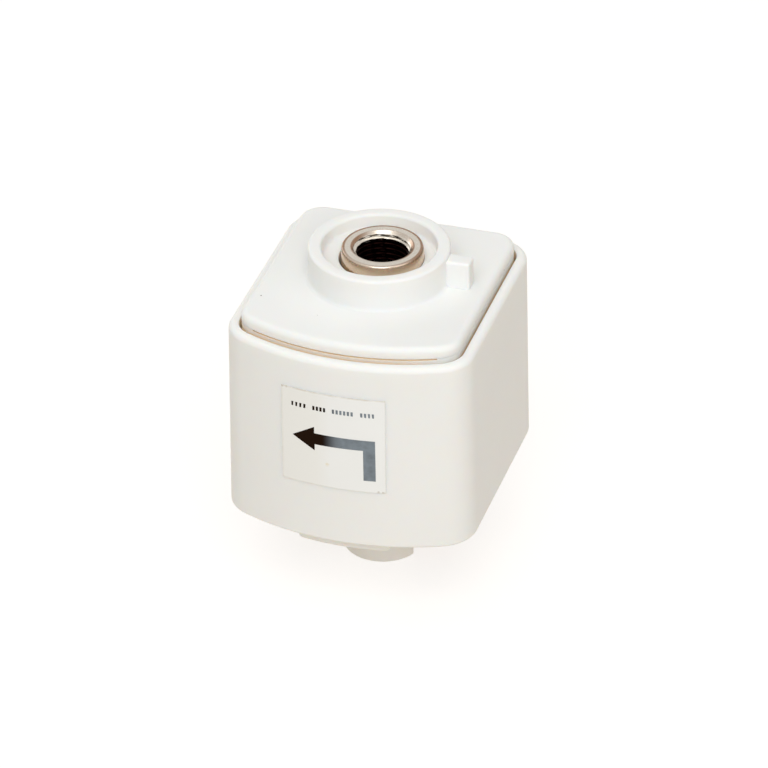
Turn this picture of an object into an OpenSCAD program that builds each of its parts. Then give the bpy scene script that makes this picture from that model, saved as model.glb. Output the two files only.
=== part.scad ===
// Track light adapter: a sprung gripping sleeve on an inner body, with a contact post for the track
// at one end and a swivelling threaded bush for the lamp at the other.
// Millimetres. The origin is the centre of the post's end face, +Z points to the lamp end,
// and -Y is the bowed front that carries the label.

/* [Sleeve] */
// Width of the sleeve across its flat sides, at half its height
sleeve_w = 43; // [40:0.5:48]
// Distance from the axis to the crown of the bowed front
sleeve_front = 25.5; // [24:0.5:28]
// Distance from the axis to the flat back
sleeve_back = 21.5; // [20:0.5:25]
// Radius of the bowed front
bow_r = 44; // [38:1:70]
// Radius of the upright corners
corner_r = 6.5; // [6:0.25:8]
// Height of the sleeve
sleeve_h = 35.4; // [33:0.1:42]
// Thickness of the sleeve's side walls
sleeve_wall = 2; // [1.8:0.1:2.4]
// Thickness of the sleeve's end wall
end_wall = 2.4; // [1.8:0.1:3]
// Mould draft: how much further out each side of the sleeve lies at the track end than at the rim
sleeve_draft = 0.5; // [0:0.05:0.6]
// Rounding of the sleeve's outer edges
edge_round = 1; // [0.5:0.1:1.4]
// How far the sleeve can be pulled towards the lamp end
pull = 5; // [3:0.5:5.5]

/* [Key tongue] */
// Width of the key tongue
key_w = 16.2; // [14:0.2:17]
// Height of the key tongue below the track face
key_h = 2.6; // [2:0.1:3]
// Distance from the sleeve's outside to the ends of the key tongue
key_setback = 2.3; // [1.5:0.1:4]
// Rounding of the key tongue's corners
key_round = 1.2; // [0.5:0.1:2]

/* [Label] */
// Width of the label, along the bow
label_w = 18.3; // [12:0.1:22]
// Height of the label
label_h = 18.2; // [12:0.1:22]
// Thickness of the label
label_t = 0.12; // [0.08:0.01:0.2]
// Offset of the label's centre from the sleeve's middle
label_x = -0.6; // [-2:0.1:2]
// Height of the label's centre above the track face
label_z = 20.1; // [16:0.1:21]

/* [Inner body] */
// Sliding gap between the sleeve and the inner body
slide_gap = 0.3; // [0.2:0.05:0.5]
// Thickness of the inner body's walls
tub_wall = 2.2; // [1.8:0.1:2.2]
// Thickness of the inner body's floor
tub_floor = 2; // [1.6:0.1:3]
// Height of the slot under the front of the cover's plate
front_slot_h = 0.25; // [0.15:0.05:0.4]
// Depth of the slot under the front of the cover's plate
front_slot_depth = 0.6; // [0.3:0.05:1]
// Length of the slot under the front of the cover's plate
front_slot_l = 32; // [26:0.5:34]
// How far the shoulder of the inner body lies below the sleeve's rim
shoulder_drop = 1.6; // [1:0.1:3]
// Width of the retaining hooks
hook_w = 8; // [6:0.5:9]
// Height of the retaining hooks
hook_h = 2; // [1.5:0.1:3]
// How far the retaining hooks stand out of the inner body
hook_reach = 0.8; // [0.6:0.05:1]

/* [Lamp end cover] */
// Thickness of the cover's plate
plate_t = 2; // [1.6:0.1:2.4]
// How far the cover's plate stands above the sleeve's rim
plate_rise = 2.6; // [2.4:0.1:4]
// Gap between the cover's plate and the sleeve
plate_gap = 0.45; // [0.4:0.05:1]
// Height of the collar above the plate
collar_h = 5.8; // [5:0.1:7]
// Thickness of the collar's wall
collar_wall = 2.3; // [1.8:0.05:2.6]
// Depth of the collar's recess
recess_depth = 2.5; // [2:0.1:3.5]
// Thickness of the recess's floor
recess_floor_t = 4.9; // [4.4:0.1:5.4]
// Width of the ring of space round the bush
recess_gap = 2.75; // [2:0.05:3.2]
// How far the stop lug reaches beyond the collar
lug_reach = 3.95; // [3:0.05:5]
// Width of the stop lug
lug_w = 3; // [2:0.1:4]
// Height of the stop lug above the plate
lug_h = 5; // [3:0.1:5.4]
// Offset of the stop lug from the collar's middle
lug_y = 0.5; // [-1:0.1:1]

/* [Swivel bush] */
// Outer radius of the bush
bush_r = 7; // [6.6:0.1:7.4]
// Inside radius of the bush at the crests of its thread
thread_r = 4.46; // [4.2:0.02:4.6]
// Radius of the bush's chamfered mouth
mouth_r = 5.2; // [5:0.05:5.6]
// Length of the bush
bush_len = 14; // [13:0.5:15]
// How far the bush's end lies below the collar's rim
bush_drop = 0.25; // [0:0.05:1]
// Running gap between the bush and its hole in the cover
bush_gap = 0.3; // [0.15:0.05:0.5]
// Space round the bush and its flange inside the cover
bush_play = 0.65; // [0.6:0.05:0.9]
// How far the bush's axis lies to one side of the collar's middle
bush_shift = 0.55; // [0:0.05:0.55]
// How much further to that side the bush lies than its hole
bush_lean = 0.15; // [0:0.05:0.15]
// How far the bush's flange stands out
flange_reach = 2; // [1.8:0.1:2.4]
// Thickness of the bush's flange
flange_t = 1.6; // [1.2:0.1:2]
// Working height of the wave washer
wave_h = 0.7; // [0.6:0.05:0.9]
// Thickness of the wave washer's strip
wave_t = 0.3; // [0.2:0.05:0.4]
// Thickness of the thrust washer
thrust_t = 0.6; // [0.4:0.05:0.8]
// Thickness of the clamp plate
clamp_t = 1.2; // [0.8:0.1:1.5]

/* [Contact post] */
// Radius of the post
post_r = 7; // [6.6:0.1:7.4]
// How far the post reaches beyond the sleeve's track face
post_reach = 16.5; // [15:0.5:20]
// Running gap between the post and the sleeve's end wall
post_gap = 0.3; // [0.2:0.05:0.5]
// Rounding of the post's end edge
end_round = 0.5; // [0.2:0.1:0.8]
// Radius of the locking wings
wing_r = 12; // [10:0.25:14]
// Width of the locking wings
wing_w = 11; // [8:0.25:12]
// Thickness of the locking wings
wing_t = 3; // [2:0.1:3.5]

/* [Contacts and terminals] */
// Width of the leaf contacts
leaf_w = 5; // [4:0.1:5.2]
// Height of the contacts' lower ends above the post's end
leaf_foot = 3.5; // [2.5:0.1:4]
// Thickness of the leaf contacts and of the earth strap
leaf_t = 0.6; // [0.4:0.05:0.7]
// How far the contacts' noses stand out of the post
nose_reach = 3.5; // [2:0.1:4.5]
// Length of a terminal, away from the axis
terminal_l = 6; // [5:0.1:6.5]
// Width of a terminal
terminal_w = 7; // [6:0.1:8]
// Height of a terminal
terminal_h = 8; // [6:0.1:9]
// Radius of the wire holes in the terminals
wire_r = 1.6; // [1:0.05:1.8]

/* [Return spring] */
// Room for the return spring between the sleeve's end wall and the inner body
spring_room = 10; // [9.5:0.5:12]
// Diameter of the spring wire
wire_d = 1; // [0.7:0.05:1]
// Number of working turns between the closed end turns
spring_turns = 2; // [2:1:3]

/* [Hidden] */
$fn = 64;

// Colours as the photo shows them
white_plastic = [0.94, 0.93, 0.9];
cream_plastic = [0.88, 0.87, 0.83];
nickel = [0.72, 0.69, 0.65];
zinc = [0.75, 0.76, 0.78];
brass = [0.8, 0.65, 0.35];
spring_steel = [0.55, 0.56, 0.58];
clear_film = [0.96, 0.96, 0.97];
nylon = [0.9, 0.9, 0.86];

// Small clearances and overlaps
cut = 1;
fit_gap = 0.2;
run_gap = 0.05;
screw_gap = 0.05;

// Steps along the round stretches of the outline
corner_steps = 8;
bow_steps = 14;
round_steps = 4;

// Centre of the outline's bow
bow_y = bow_r - sleeve_front;

// How far each wall is set in from the sleeve's outside
body_inset = sleeve_wall + slide_gap;
room_inset = body_inset + tub_wall;
plate_inset = sleeve_wall + plate_gap;
spigot_inset = room_inset + fit_gap;
spigot_wall = 1.2;
spigot_h = 2;

// Levels from the post's end to the collar's rim
track_face = post_reach;
key_face = track_face - key_h;
end_top = track_face + end_wall;
floor_z = end_top + spring_room;
floor_top = floor_z + tub_floor;
rim_z = track_face + sleeve_h;
shoulder_z = rim_z - shoulder_drop;
plate_top = rim_z + plate_rise;
plate_z = plate_top - plate_t;
collar_top = plate_top + collar_h;
recess_z = collar_top - recess_depth;
pocket_top = recess_z - recess_floor_t;
flange_top = pocket_top - wave_h - 2 * run_gap;
flange_z = flange_top - flange_t;
thrust_z = flange_z - run_gap - thrust_t;
clamp_z = thrust_z - clamp_t;
bush_top = collar_top - bush_drop;
bush_z = bush_top - bush_len;

// Radii of the lamp end
bush_hole_r = bush_r + bush_gap;
washer_in = bush_r + bush_play;
recess_r = bush_r + recess_gap;
collar_r = recess_r + collar_wall;
flange_r = bush_r + flange_reach;
pocket_r = flange_r + bush_play;
washer_gap = 0.4;
washer_r = pocket_r - washer_gap;
collar_round = 0.4;
plate_round = 0.9;

// Screws: shank radius, head radius, head height, slot width
clamp_shank = 1.1;
clamp_head = 2;
post_shank = 1.25;
post_head = 2.2;
terminal_shank = 1.4;
terminal_head = 2.1;
head_h = 1.4;
slot_w = 0.6;
slot_depth = 0.7;
clamp_screw_len = 4.4;
post_screw_len = 8;
terminal_screw_len = 3.4;
clamp_screw_wall = 1.4;
clamp_screw_r = pocket_r + clamp_screw_wall + clamp_shank;
boss_r = clamp_screw_r + clamp_shank + clamp_screw_wall;
clamp_gap = 0.4;
clamp_r = boss_r - clamp_gap;
clamp_angles = [90, 210, 330];
post_screw_wall = 1.4;
post_screw_r = post_r - post_shank - post_screw_wall;
post_angles = [45, 135, 270];

// Snap tongues of the cover, two on each side
snap_w = 6;
snap_t = 1.4;
snap_y = [-10.5, 9.5];
snap_hook = 0.8;
snap_hook_h = 1.6;
snap_drop = 7.5;
snap_z = plate_z - snap_drop;
snap_gap = 0.25;

// Retaining hooks, on spring tongues cut free in the inner body's sides
hook_drop = 8;
hook_z = shoulder_z - hook_drop;
tongue_w = hook_w + 2;
tongue_slot = 0.8;
tongue_drop = 6;
stop_gap = 0.05;
groove_side_gap = 0.4;
hook_x = sleeve_w / 2 - body_inset + hook_reach;

// Post, wings, contacts and terminals
post_hole_r = post_r + post_gap;
ring_wall = 1;
ring_r = post_hole_r + ring_wall;
ring_h = 1.5;
key_gap = 1.1;
wing_gap = 0.6;
wing_chamfer = 0.8;
wing_top = key_face - wing_gap;
wing_z = wing_top - wing_t;
leaf_inset = 0.5;
leaf_gap = 0.2;
leaf_side_gap = 0.4;
leaf_out = post_r - leaf_inset;
leaf_mid = leaf_out - leaf_t / 2;
groove_in = leaf_out - leaf_t - leaf_gap;
groove_w = leaf_w + 2 * leaf_side_gap;
nose_r = post_r + nose_reach;
nose_flat = 0.8;
leaf_end_gap = 0.5;
leaf_shoulder = wing_z - leaf_end_gap;
nose_z = (leaf_foot + leaf_shoulder) / 2;
leaf_top = floor_top + terminal_h - 1.5;
terminal_mid = leaf_out + terminal_l / 2;
fence_t = 1;
fence_h = 2;
wire_gap = 0.4;
wire_z = floor_top + fence_h + wire_gap + wire_r;
live_angle = 180;
neutral_angle = 0;
earth_angle = 90;
terminal_angles = [live_angle, neutral_angle, earth_angle];

// Earth strap, from the back of the earth terminal to the clamp plate
strap_w = 4;
strap_foot = leaf_out + terminal_l + leaf_t / 2;
strap_back = clamp_screw_r + clamp_head + leaf_t;
strap_bend_z = floor_top + terminal_h + 1;
strap_lean = 3;
strap_tab_z = clamp_z - leaf_t / 2;
strap_tab_in = clamp_screw_r - clamp_head;

// Return spring
spring_gap = 0.3;
seat_gap = 0.02;
spring_r = ring_r + spring_gap + wire_d / 2;
end_pitch = 1.06 * wire_d;
spring_low = end_top + wire_d / 2 + seat_gap;
spring_high = floor_z - wire_d / 2 - seat_gap;
turns = spring_turns + 2;
rings_per_turn = 20;
wire_sides = 8;

// The way the bowed front faces
front_angle = 270;

// Points along an arc, both ends included
function arc(centre, r, from, to, steps) =
    [for (k = [0:steps])
        let (a = from + (to - from) * k / steps)
        centre + r * [cos(a), sin(a)]];

// Rectangle with round corners and a bowed front, about the bow's centre at [0, bow_y]
function bowed(half_w, back, front_r, corner) =
    let (x = half_w - corner)
    let (lean = asin(x / (front_r - corner)))
    let (y = bow_y - (front_r - corner) * cos(lean))
    concat(
        arc([x, back - corner], corner, 0, 90, corner_steps),
        arc([-x, back - corner], corner, 90, 180, corner_steps),
        arc([-x, y], corner, 180, front_angle - lean, corner_steps),
        [for (k = [1:bow_steps - 1])
            let (a = front_angle - lean + 2 * lean * k / bow_steps)
            [front_r * cos(a), bow_y + front_r * sin(a)]],
        arc([x, y], corner, front_angle + lean, 360, corner_steps)
    );

// The sleeve's own outline, set in by a distance
function outline(inset) =
    bowed(sleeve_w / 2 - inset, sleeve_back - inset, bow_r - inset, corner_r - inset);

// How far the mould draft sets the sleeve's outside in, at a height above the track face
function draft_inset(h) = sleeve_draft * (h / sleeve_h - 0.5);

// Outline of a bent strip of even thickness along a path
function normal(a, b) = let (d = (b - a) / norm(b - a)) [d[1], -d[0]];
function strip_shift(path, k) =
    let (n1 = normal(path[max(k - 1, 0)], path[max(k, 1)]))
    let (n2 = normal(path[min(k, len(path) - 2)], path[min(k + 1, len(path) - 1)]))
    (n1 + n2) / (1 + n1 * n2);
function strip(path, t) =
    let (last = len(path) - 1)
    concat(
        [for (k = [0:last]) path[k] + strip_shift(path, k) * t / 2],
        [for (k = [last:-1:0]) path[k] - strip_shift(path, k) * t / 2]
    );

module block(inset, z0, z1) {
    translate([0, 0, z0]) linear_extrude(z1 - z0) polygon(outline(inset));
}

// A block whose edges are rounded by one radius at the low end and another at the high end, skinned over
// outlines that are set in by different amounts. A radius of 0 leaves a sharp edge. A drafted block leans in
// with the sleeve's outside.
module rounded_block(inset, z0, z1, low_r, high_r, drafted = false) {
    quarter = [for (k = [0:round_steps]) 90 * k / round_steps];
    levels = concat(
        [for (a = low_r > 0 ? quarter : [90]) [inset + low_r * (1 - sin(a)), z0 + low_r * (1 - cos(a))]],
        [for (a = high_r > 0 ? quarter : [0]) [inset + high_r * (1 - cos(a)), z1 - high_r * (1 - sin(a))]]);
    count = len(outline(inset));
    top = (len(levels) - 1) * count;
    sides = [for (low = [0:count:top - count], k = [0:count - 1])
        let (next = (k + 1) % count)
        [low + k, low + count + k, low + count + next, low + next]];
    polyhedron(
        [for (level = levels)
            let (lean = drafted ? draft_inset(level[1] - z0) : 0)
            for (p = outline(level[0] + lean)) [p[0], p[1], level[1]]],
        concat(sides, [[for (k = [0:count - 1]) k], [for (k = [count - 1:-1:0]) top + k]]));
}

module ring(r_out, r_in, z0, z1) {
    translate([0, 0, z0]) difference() {
        cylinder(h = z1 - z0, r = r_out);
        translate([0, 0, -cut]) cylinder(h = z1 - z0 + 2 * cut, r = r_in);
    }
}

// A screw that stands head down, its head's seat at z = 0 and its shank pointing up
module screw(shank, head, length) {
    difference() {
        union() {
            translate([0, 0, -head_h]) cylinder(h = head_h, r = head);
            translate([0, 0, -head_h / 2]) cylinder(h = length + head_h / 2, r = shank);
        }
        translate([-head - cut, -slot_w / 2, -head_h - cut])
            cube([2 * (head + cut), slot_w, slot_depth + cut]);
    }
}

module radial_box(r0, r1, w, z0, z1) {
    translate([r0, -w / 2, z0]) cube([r1 - r0, w, z1 - z0]);
}

module at_angles(angles) {
    for (a = angles) rotate([0, 0, a]) children();
}

module bent_strip(path, t, w) {
    rotate([90, 0, 0]) linear_extrude(w, center = true) polygon(strip(path, t));
}

module outer_sleeve() {
    groove_z = hook_z - pull - groove_side_gap;
    groove_top = hook_z + hook_h + stop_gap;
    groove_x = hook_x + slide_gap;
    color(white_plastic) difference() {
        union() {
            difference() {
                rounded_block(0, track_face, rim_z, edge_round / 2, edge_round, drafted = true);
                block(sleeve_wall, end_top, rim_z + cut);
            }
            difference() {
                translate([0, 0, key_face]) linear_extrude(key_h + end_wall / 2) polygon(bowed(
                    key_w / 2, sleeve_back - key_setback, bow_r - key_setback, key_round));
                translate([0, 0, key_face - cut]) cylinder(h = key_h + cut, r = post_hole_r + key_gap);
            }
            translate([0, 0, end_top - end_wall / 2]) cylinder(h = ring_h + end_wall / 2, r = ring_r);
        }
        translate([0, 0, key_face - cut])
            cylinder(h = end_top + ring_h - key_face + 2 * cut, r = post_hole_r);
        translate([-groove_x, -hook_w / 2 - groove_side_gap, groove_z])
            cube([2 * groove_x, hook_w + 2 * groove_side_gap, groove_top - groove_z]);
    }
}

module label() {
    sweep = label_w / bow_r * 180 / PI;
    turn = label_x / bow_r * 180 / PI;
    low = [bow_r - draft_inset(label_z - label_h / 2), label_z - label_h / 2];
    high = [bow_r - draft_inset(label_z + label_h / 2), label_z + label_h / 2];
    color(clear_film) translate([0, bow_y, track_face])
        rotate([0, 0, front_angle + turn - sweep / 2])
        rotate_extrude(angle = sweep)
        polygon([low, low + [label_t, 0], high + [label_t, 0], high]);
}

// The top of the inner body, flush with the cover's plate, with a narrow slot under the plate's front
module neck() {
    slot_z = plate_z - front_slot_h;
    difference() {
        block(plate_inset, shoulder_z - cut, plate_z);
        intersection() {
            difference() {
                block(plate_inset - cut, slot_z, plate_z + cut);
                block(plate_inset + front_slot_depth, slot_z - cut, plate_z + 2 * cut);
            }
            translate([-front_slot_l / 2, bow_y - bow_r, slot_z - cut])
                cube([front_slot_l, bow_r - bow_y, front_slot_h + 3 * cut]);
        }
    }
}

// Low walls on the inner body's floor that hold a terminal on three sides
module terminal_fence() {
    seat_l = leaf_out + terminal_l + leaf_t + fit_gap;
    seat_w = terminal_w + 2 * fit_gap;
    difference() {
        radial_box(leaf_out + fence_t, seat_l + fence_t, seat_w + 2 * fence_t,
            floor_top - cut, floor_top + fence_h);
        radial_box(0, seat_l, seat_w, floor_top - 2 * cut, floor_top + fence_h + cut);
    }
}

module inner_body() {
    tongue_top = hook_z + hook_h;
    tongue_z = hook_z - tongue_drop;
    wall_out = sleeve_w / 2 - body_inset + cut;
    wall_in = sleeve_w / 2 - room_inset - cut;
    color(white_plastic) difference() {
        union() {
            block(body_inset, floor_z, shoulder_z);
            neck();
            translate([0, 0, floor_z - ring_h]) cylinder(h = ring_h + tub_floor / 2, r = ring_r);
            at_angles([0, 180]) radial_box(hook_x - hook_reach - cut, hook_x, hook_w, hook_z, tongue_top);
        }
        difference() {
            block(room_inset, floor_top, plate_z + cut);
            at_angles(terminal_angles) terminal_fence();
        }
        translate([0, 0, floor_z - ring_h - cut]) cylinder(h = ring_h + cut, r = post_r + run_gap);
        at_angles(post_angles) translate([post_screw_r, 0, floor_z - cut])
            cylinder(h = tub_floor + 2 * cut, r = post_shank + screw_gap);
        at_angles(terminal_angles)
            radial_box(groove_in, leaf_out, groove_w, floor_z - ring_h - cut, floor_top + cut);
        at_angles([0, 180]) {
            for (side = [-1, 1]) translate([0, side * (tongue_w + tongue_slot) / 2, 0])
                radial_box(wall_in, wall_out, tongue_slot, tongue_z, tongue_top + tongue_slot);
            radial_box(wall_in, wall_out, tongue_w, tongue_top, tongue_top + tongue_slot);
        }
        for (y = snap_y) translate([-wall_out, y - snap_w / 2 - snap_gap, snap_z - snap_gap])
            cube([2 * wall_out, snap_w + 2 * snap_gap, snap_hook_h + 2 * snap_gap]);
    }
}

module lamp_end_cover() {
    snap_x = sleeve_w / 2 - spigot_inset;
    lug_x = collar_r + lug_reach;
    collar_edge = [collar_r - collar_round, collar_top - plate_z - collar_round];
    color(white_plastic) difference() {
        union() {
            rounded_block(plate_inset, plate_z, plate_top, 0, plate_round);
            difference() {
                block(spigot_inset, plate_z - spigot_h, plate_z + plate_t / 2);
                block(spigot_inset + spigot_wall, plate_z - spigot_h - cut, plate_z);
            }
            translate([0, 0, thrust_z]) cylinder(h = plate_z - thrust_z + plate_t / 2, r = boss_r);
            translate([0, 0, plate_z]) rotate_extrude() polygon(concat(
                [[0, 0], [collar_r, 0]],
                arc(collar_edge, collar_round, 0, 90, round_steps),
                [[0, collar_top - plate_z]]));
            translate([collar_r - collar_wall / 2, lug_y - lug_w / 2, plate_z])
                cube([lug_x - collar_r + collar_wall / 2, lug_w, plate_t + lug_h]);
            for (side = [0, 1], y = snap_y) mirror([side, 0, 0])
                translate([snap_x - snap_t, y - snap_w / 2, snap_z]) {
                    cube([snap_t, snap_w, plate_z + plate_t / 2 - snap_z]);
                    cube([snap_t + snap_hook, snap_w, snap_hook_h]);
                }
        }
        translate([0, 0, recess_z]) cylinder(h = recess_depth + cut, r = recess_r);
        translate([bush_shift - bush_lean, 0, thrust_z - cut])
            cylinder(h = collar_top - thrust_z + 2 * cut, r = bush_hole_r);
        translate([0, 0, thrust_z - cut]) cylinder(h = pocket_top - thrust_z + cut, r = pocket_r);
        at_angles(clamp_angles) translate([clamp_screw_r, 0, thrust_z - cut])
            cylinder(h = clamp_screw_len - clamp_t + screw_gap + cut, r = clamp_shank + screw_gap);
    }
}

module swivel_bush() {
    chamfer = mouth_r - thread_r;
    edge = 0.4;
    color(nickel) translate([bush_shift, 0, 0]) rotate_extrude() polygon([
        [thread_r, bush_z + chamfer], [mouth_r, bush_z], [bush_r - edge, bush_z], [bush_r, bush_z + edge],
        [bush_r, flange_z], [flange_r, flange_z], [flange_r, flange_top], [bush_r, flange_top],
        [bush_r, bush_top - edge], [bush_r - edge, bush_top], [mouth_r, bush_top],
        [thread_r, bush_top - chamfer]]);
}

// A spring ring that waves up and down as it goes round
module wave_washer() {
    waves = 3;
    steps = 48;
    low = flange_top + run_gap;
    lift = wave_h - wave_t;
    corners = [[washer_in, 0], [washer_r, 0], [washer_r, wave_t], [washer_in, wave_t]];
    points = [for (k = [0:steps - 1], c = corners)
        let (a = 360 * k / steps)
        [c[0] * cos(a), c[0] * sin(a), low + lift * (1 + cos(waves * a)) / 2 + c[1]]];
    color(spring_steel) polyhedron(points, [for (k = [0:steps - 1], c = [0:3])
        let (next = (k + 1) % steps)
        let (d = (c + 1) % 4)
        [4 * k + c, 4 * k + d, 4 * next + d, 4 * next + c]]);
}

module thrust_washer() {
    color(nylon) ring(washer_r, washer_in, thrust_z, thrust_z + thrust_t);
}

module clamp_plate() {
    color(zinc) difference() {
        ring(clamp_r, washer_in, clamp_z, thrust_z);
        at_angles(clamp_angles) translate([clamp_screw_r, 0, clamp_z - cut])
            cylinder(h = clamp_t + 2 * cut, r = clamp_shank + screw_gap);
    }
}

module clamp_screws() {
    color(zinc) for (a = clamp_angles)
        rotate([0, 0, a]) translate([clamp_screw_r, 0, clamp_z - (a == earth_angle ? leaf_t : 0)])
            screw(clamp_shank, clamp_head, clamp_screw_len);
}

module contact_post() {
    color(cream_plastic) difference() {
        union() {
            rotate_extrude() polygon(concat(
                [[0, 0]],
                arc([post_r - end_round, end_round], end_round, -90, 0, round_steps),
                [[post_r, floor_z], [0, floor_z]]));
            translate([0, 0, wing_z]) intersection() {
                cylinder(h = wing_t, r = wing_r);
                rotate([90, 0, 90]) linear_extrude(2 * (wing_r + cut), center = true) polygon([
                    [-wing_w / 2, 0], [wing_w / 2, 0], [wing_w / 2, wing_t - wing_chamfer],
                    [wing_w / 2 - wing_chamfer, wing_t], [wing_chamfer - wing_w / 2, wing_t],
                    [-wing_w / 2, wing_t - wing_chamfer]]);
            }
        }
        at_angles(terminal_angles)
            radial_box(groove_in, post_r + leaf_inset, groove_w, -cut, floor_z + cut);
        at_angles(post_angles) translate([post_screw_r, 0, floor_z - post_screw_len + tub_floor])
            cylinder(h = post_screw_len, r = post_shank + screw_gap);
    }
}

module post_screws() {
    color(zinc) at_angles(post_angles) translate([post_screw_r, 0, floor_top]) mirror([0, 0, 1])
        screw(post_shank, post_head, post_screw_len - screw_gap);
}

// A leaf that bulges out to a nose below the wings and runs up its groove to the terminal
module leaf_contact(angle) {
    nose_mid = nose_r - leaf_t / 2;
    color(brass) rotate([0, 0, angle]) bent_strip([
        [leaf_mid, leaf_foot], [nose_mid, nose_z - nose_flat], [nose_mid, nose_z + nose_flat],
        [leaf_mid, leaf_shoulder], [leaf_mid, leaf_top]], leaf_t, leaf_w);
}

module live_contact() leaf_contact(live_angle);
module neutral_contact() leaf_contact(neutral_angle);
module earth_contact() leaf_contact(earth_angle);

module terminal(angle) {
    color(brass) rotate([0, 0, angle]) difference() {
        radial_box(leaf_out, leaf_out + terminal_l, terminal_w, floor_top, floor_top + terminal_h);
        translate([terminal_mid, 0, wire_z]) rotate([90, 0, 0])
            cylinder(h = terminal_w + 2 * cut, r = wire_r, center = true);
        translate([terminal_mid, 0, wire_z])
            cylinder(h = floor_top + terminal_h - wire_z + cut, r = terminal_shank + screw_gap);
    }
}

module live_terminal() terminal(live_angle);
module neutral_terminal() terminal(neutral_angle);
module earth_terminal() terminal(earth_angle);

module terminal_screws() {
    color(zinc) at_angles(terminal_angles) translate([terminal_mid, 0, floor_top + terminal_h])
        mirror([0, 0, 1]) screw(terminal_shank, terminal_head, terminal_screw_len);
}

module earth_strap() {
    color(brass) rotate([0, 0, earth_angle]) difference() {
        bent_strip([
            [strap_foot, floor_top], [strap_foot, strap_bend_z], [strap_back, strap_bend_z + strap_lean],
            [strap_back, strap_tab_z], [strap_tab_in, strap_tab_z]], leaf_t, strap_w);
        translate([clamp_screw_r, 0, clamp_z - leaf_t - cut])
            cylinder(h = leaf_t + 2 * cut, r = clamp_shank + screw_gap);
    }
}

// Height of the wire's middle after a number of turns: closed end turns, open turns between
function coil_z(t) =
    let (open = (spring_high - spring_low - 2 * end_pitch) / spring_turns)
    t < 1 ? spring_low + end_pitch * t
    : t > turns - 1 ? spring_high - end_pitch * (turns - t)
    : spring_low + end_pitch + open * (t - 1);

module return_spring() {
    last = turns * rings_per_turn;
    points = [for (k = [0:last], s = [0:wire_sides - 1])
        let (a = 360 * k / rings_per_turn)
        let (b = 360 * s / wire_sides)
        let (r = spring_r + wire_d / 2 * cos(b))
        [r * cos(a), r * sin(a), coil_z(k / rings_per_turn) + wire_d / 2 * sin(b)]];
    sides = [for (k = [0:last - 1], s = [0:wire_sides - 1])
        let (next = (s + 1) % wire_sides)
        [k * wire_sides + s, k * wire_sides + next, (k + 1) * wire_sides + next, (k + 1) * wire_sides + s]];
    first_cap = [[for (s = [wire_sides - 1:-1:0]) s]];
    last_cap = [[for (s = [0:wire_sides - 1]) last * wire_sides + s]];
    color(spring_steel) polyhedron(points, concat(sides, first_cap, last_cap));
}

outer_sleeve();
label();
inner_body();
lamp_end_cover();
swivel_bush();
wave_washer();
thrust_washer();
clamp_plate();
clamp_screws();
contact_post();
post_screws();
live_contact();
neutral_contact();
earth_contact();
live_terminal();
neutral_terminal();
earth_terminal();
terminal_screws();
earth_strap();
return_spring();
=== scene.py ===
"""Track light adapter: the looks of each piece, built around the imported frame.

Sizes are in millimetres in the part's own frame and become metres as each mesh is made.
The lamp end points up, as in the photograph, and the bowed front faces -Y.
"""

import math

import bmesh
import bpy
from mathutils import Matrix, Vector


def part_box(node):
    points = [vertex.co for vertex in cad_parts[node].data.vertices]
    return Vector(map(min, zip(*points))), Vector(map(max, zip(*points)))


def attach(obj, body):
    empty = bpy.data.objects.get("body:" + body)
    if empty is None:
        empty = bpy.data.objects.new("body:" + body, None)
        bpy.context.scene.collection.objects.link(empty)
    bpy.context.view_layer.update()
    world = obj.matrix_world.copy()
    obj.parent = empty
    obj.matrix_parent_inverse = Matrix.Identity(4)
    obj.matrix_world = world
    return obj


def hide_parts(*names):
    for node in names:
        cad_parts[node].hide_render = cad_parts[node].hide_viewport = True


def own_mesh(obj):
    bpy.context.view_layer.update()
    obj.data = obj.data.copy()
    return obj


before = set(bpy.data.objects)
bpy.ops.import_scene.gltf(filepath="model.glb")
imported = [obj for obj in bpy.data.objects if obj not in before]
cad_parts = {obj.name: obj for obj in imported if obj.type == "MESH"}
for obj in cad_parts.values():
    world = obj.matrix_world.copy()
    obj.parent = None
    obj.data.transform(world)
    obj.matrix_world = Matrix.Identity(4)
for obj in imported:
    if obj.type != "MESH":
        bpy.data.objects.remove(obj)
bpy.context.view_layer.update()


# Inner body: the tub inside the sleeve that carries the post, the terminals and the cover.
# Injection moulded in natural ABS. Only its neck shows, flush with the cover, with a slot along the front.

def plug(tree, node, inputs):
    """Sets a node's inputs: plain values, or other nodes' outputs to link."""
    for socket, value in inputs.items():
        if isinstance(value, bpy.types.NodeSocket):
            tree.links.new(value, node.inputs[socket])
        else:
            node.inputs[socket].default_value = value


def shader_node(tree, kind, inputs=None, **settings):
    """Adds a node, with its settings and its inputs."""
    made = tree.nodes.new(kind)
    for key, value in settings.items():
        setattr(made, key, value)
    plug(tree, made, inputs or {})
    return made


def new_material(name):
    """An empty node material: its tree, its Principled shader and Object coordinates."""
    material = bpy.data.materials.new(name)
    material.use_nodes = True
    tree = material.node_tree
    shader = tree.nodes["Principled BSDF"]
    coords = shader_node(tree, "ShaderNodeTexCoord").outputs["Object"]
    return material, tree, shader, coords


def noise(tree, coords, scale, detail=2.0):
    """Noise of about the given number of features to the metre."""
    return shader_node(tree, "ShaderNodeTexNoise",
                       {"Vector": coords, "Scale": scale, "Detail": detail}).outputs["Fac"]


def remap(tree, value, low, high, to_low, to_high):
    """A clamped straight-line remap of a value."""
    spans = {"Value": value, "From Min": low, "From Max": high, "To Min": to_low, "To Max": to_high}
    return shader_node(tree, "ShaderNodeMapRange", spans).outputs["Result"]


def fade(tree, value, start, stop, at_start=1.0, at_stop=0.0):
    """A clamped fade of a value between two lengths in millimetres."""
    return remap(tree, value, MM * start, MM * stop, at_start, at_stop)


def maths(tree, operation, first, second=0.0):
    """One step of sums on single values."""
    return shader_node(tree, "ShaderNodeMath", {0: first, 1: second}, operation=operation).outputs[0]


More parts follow.
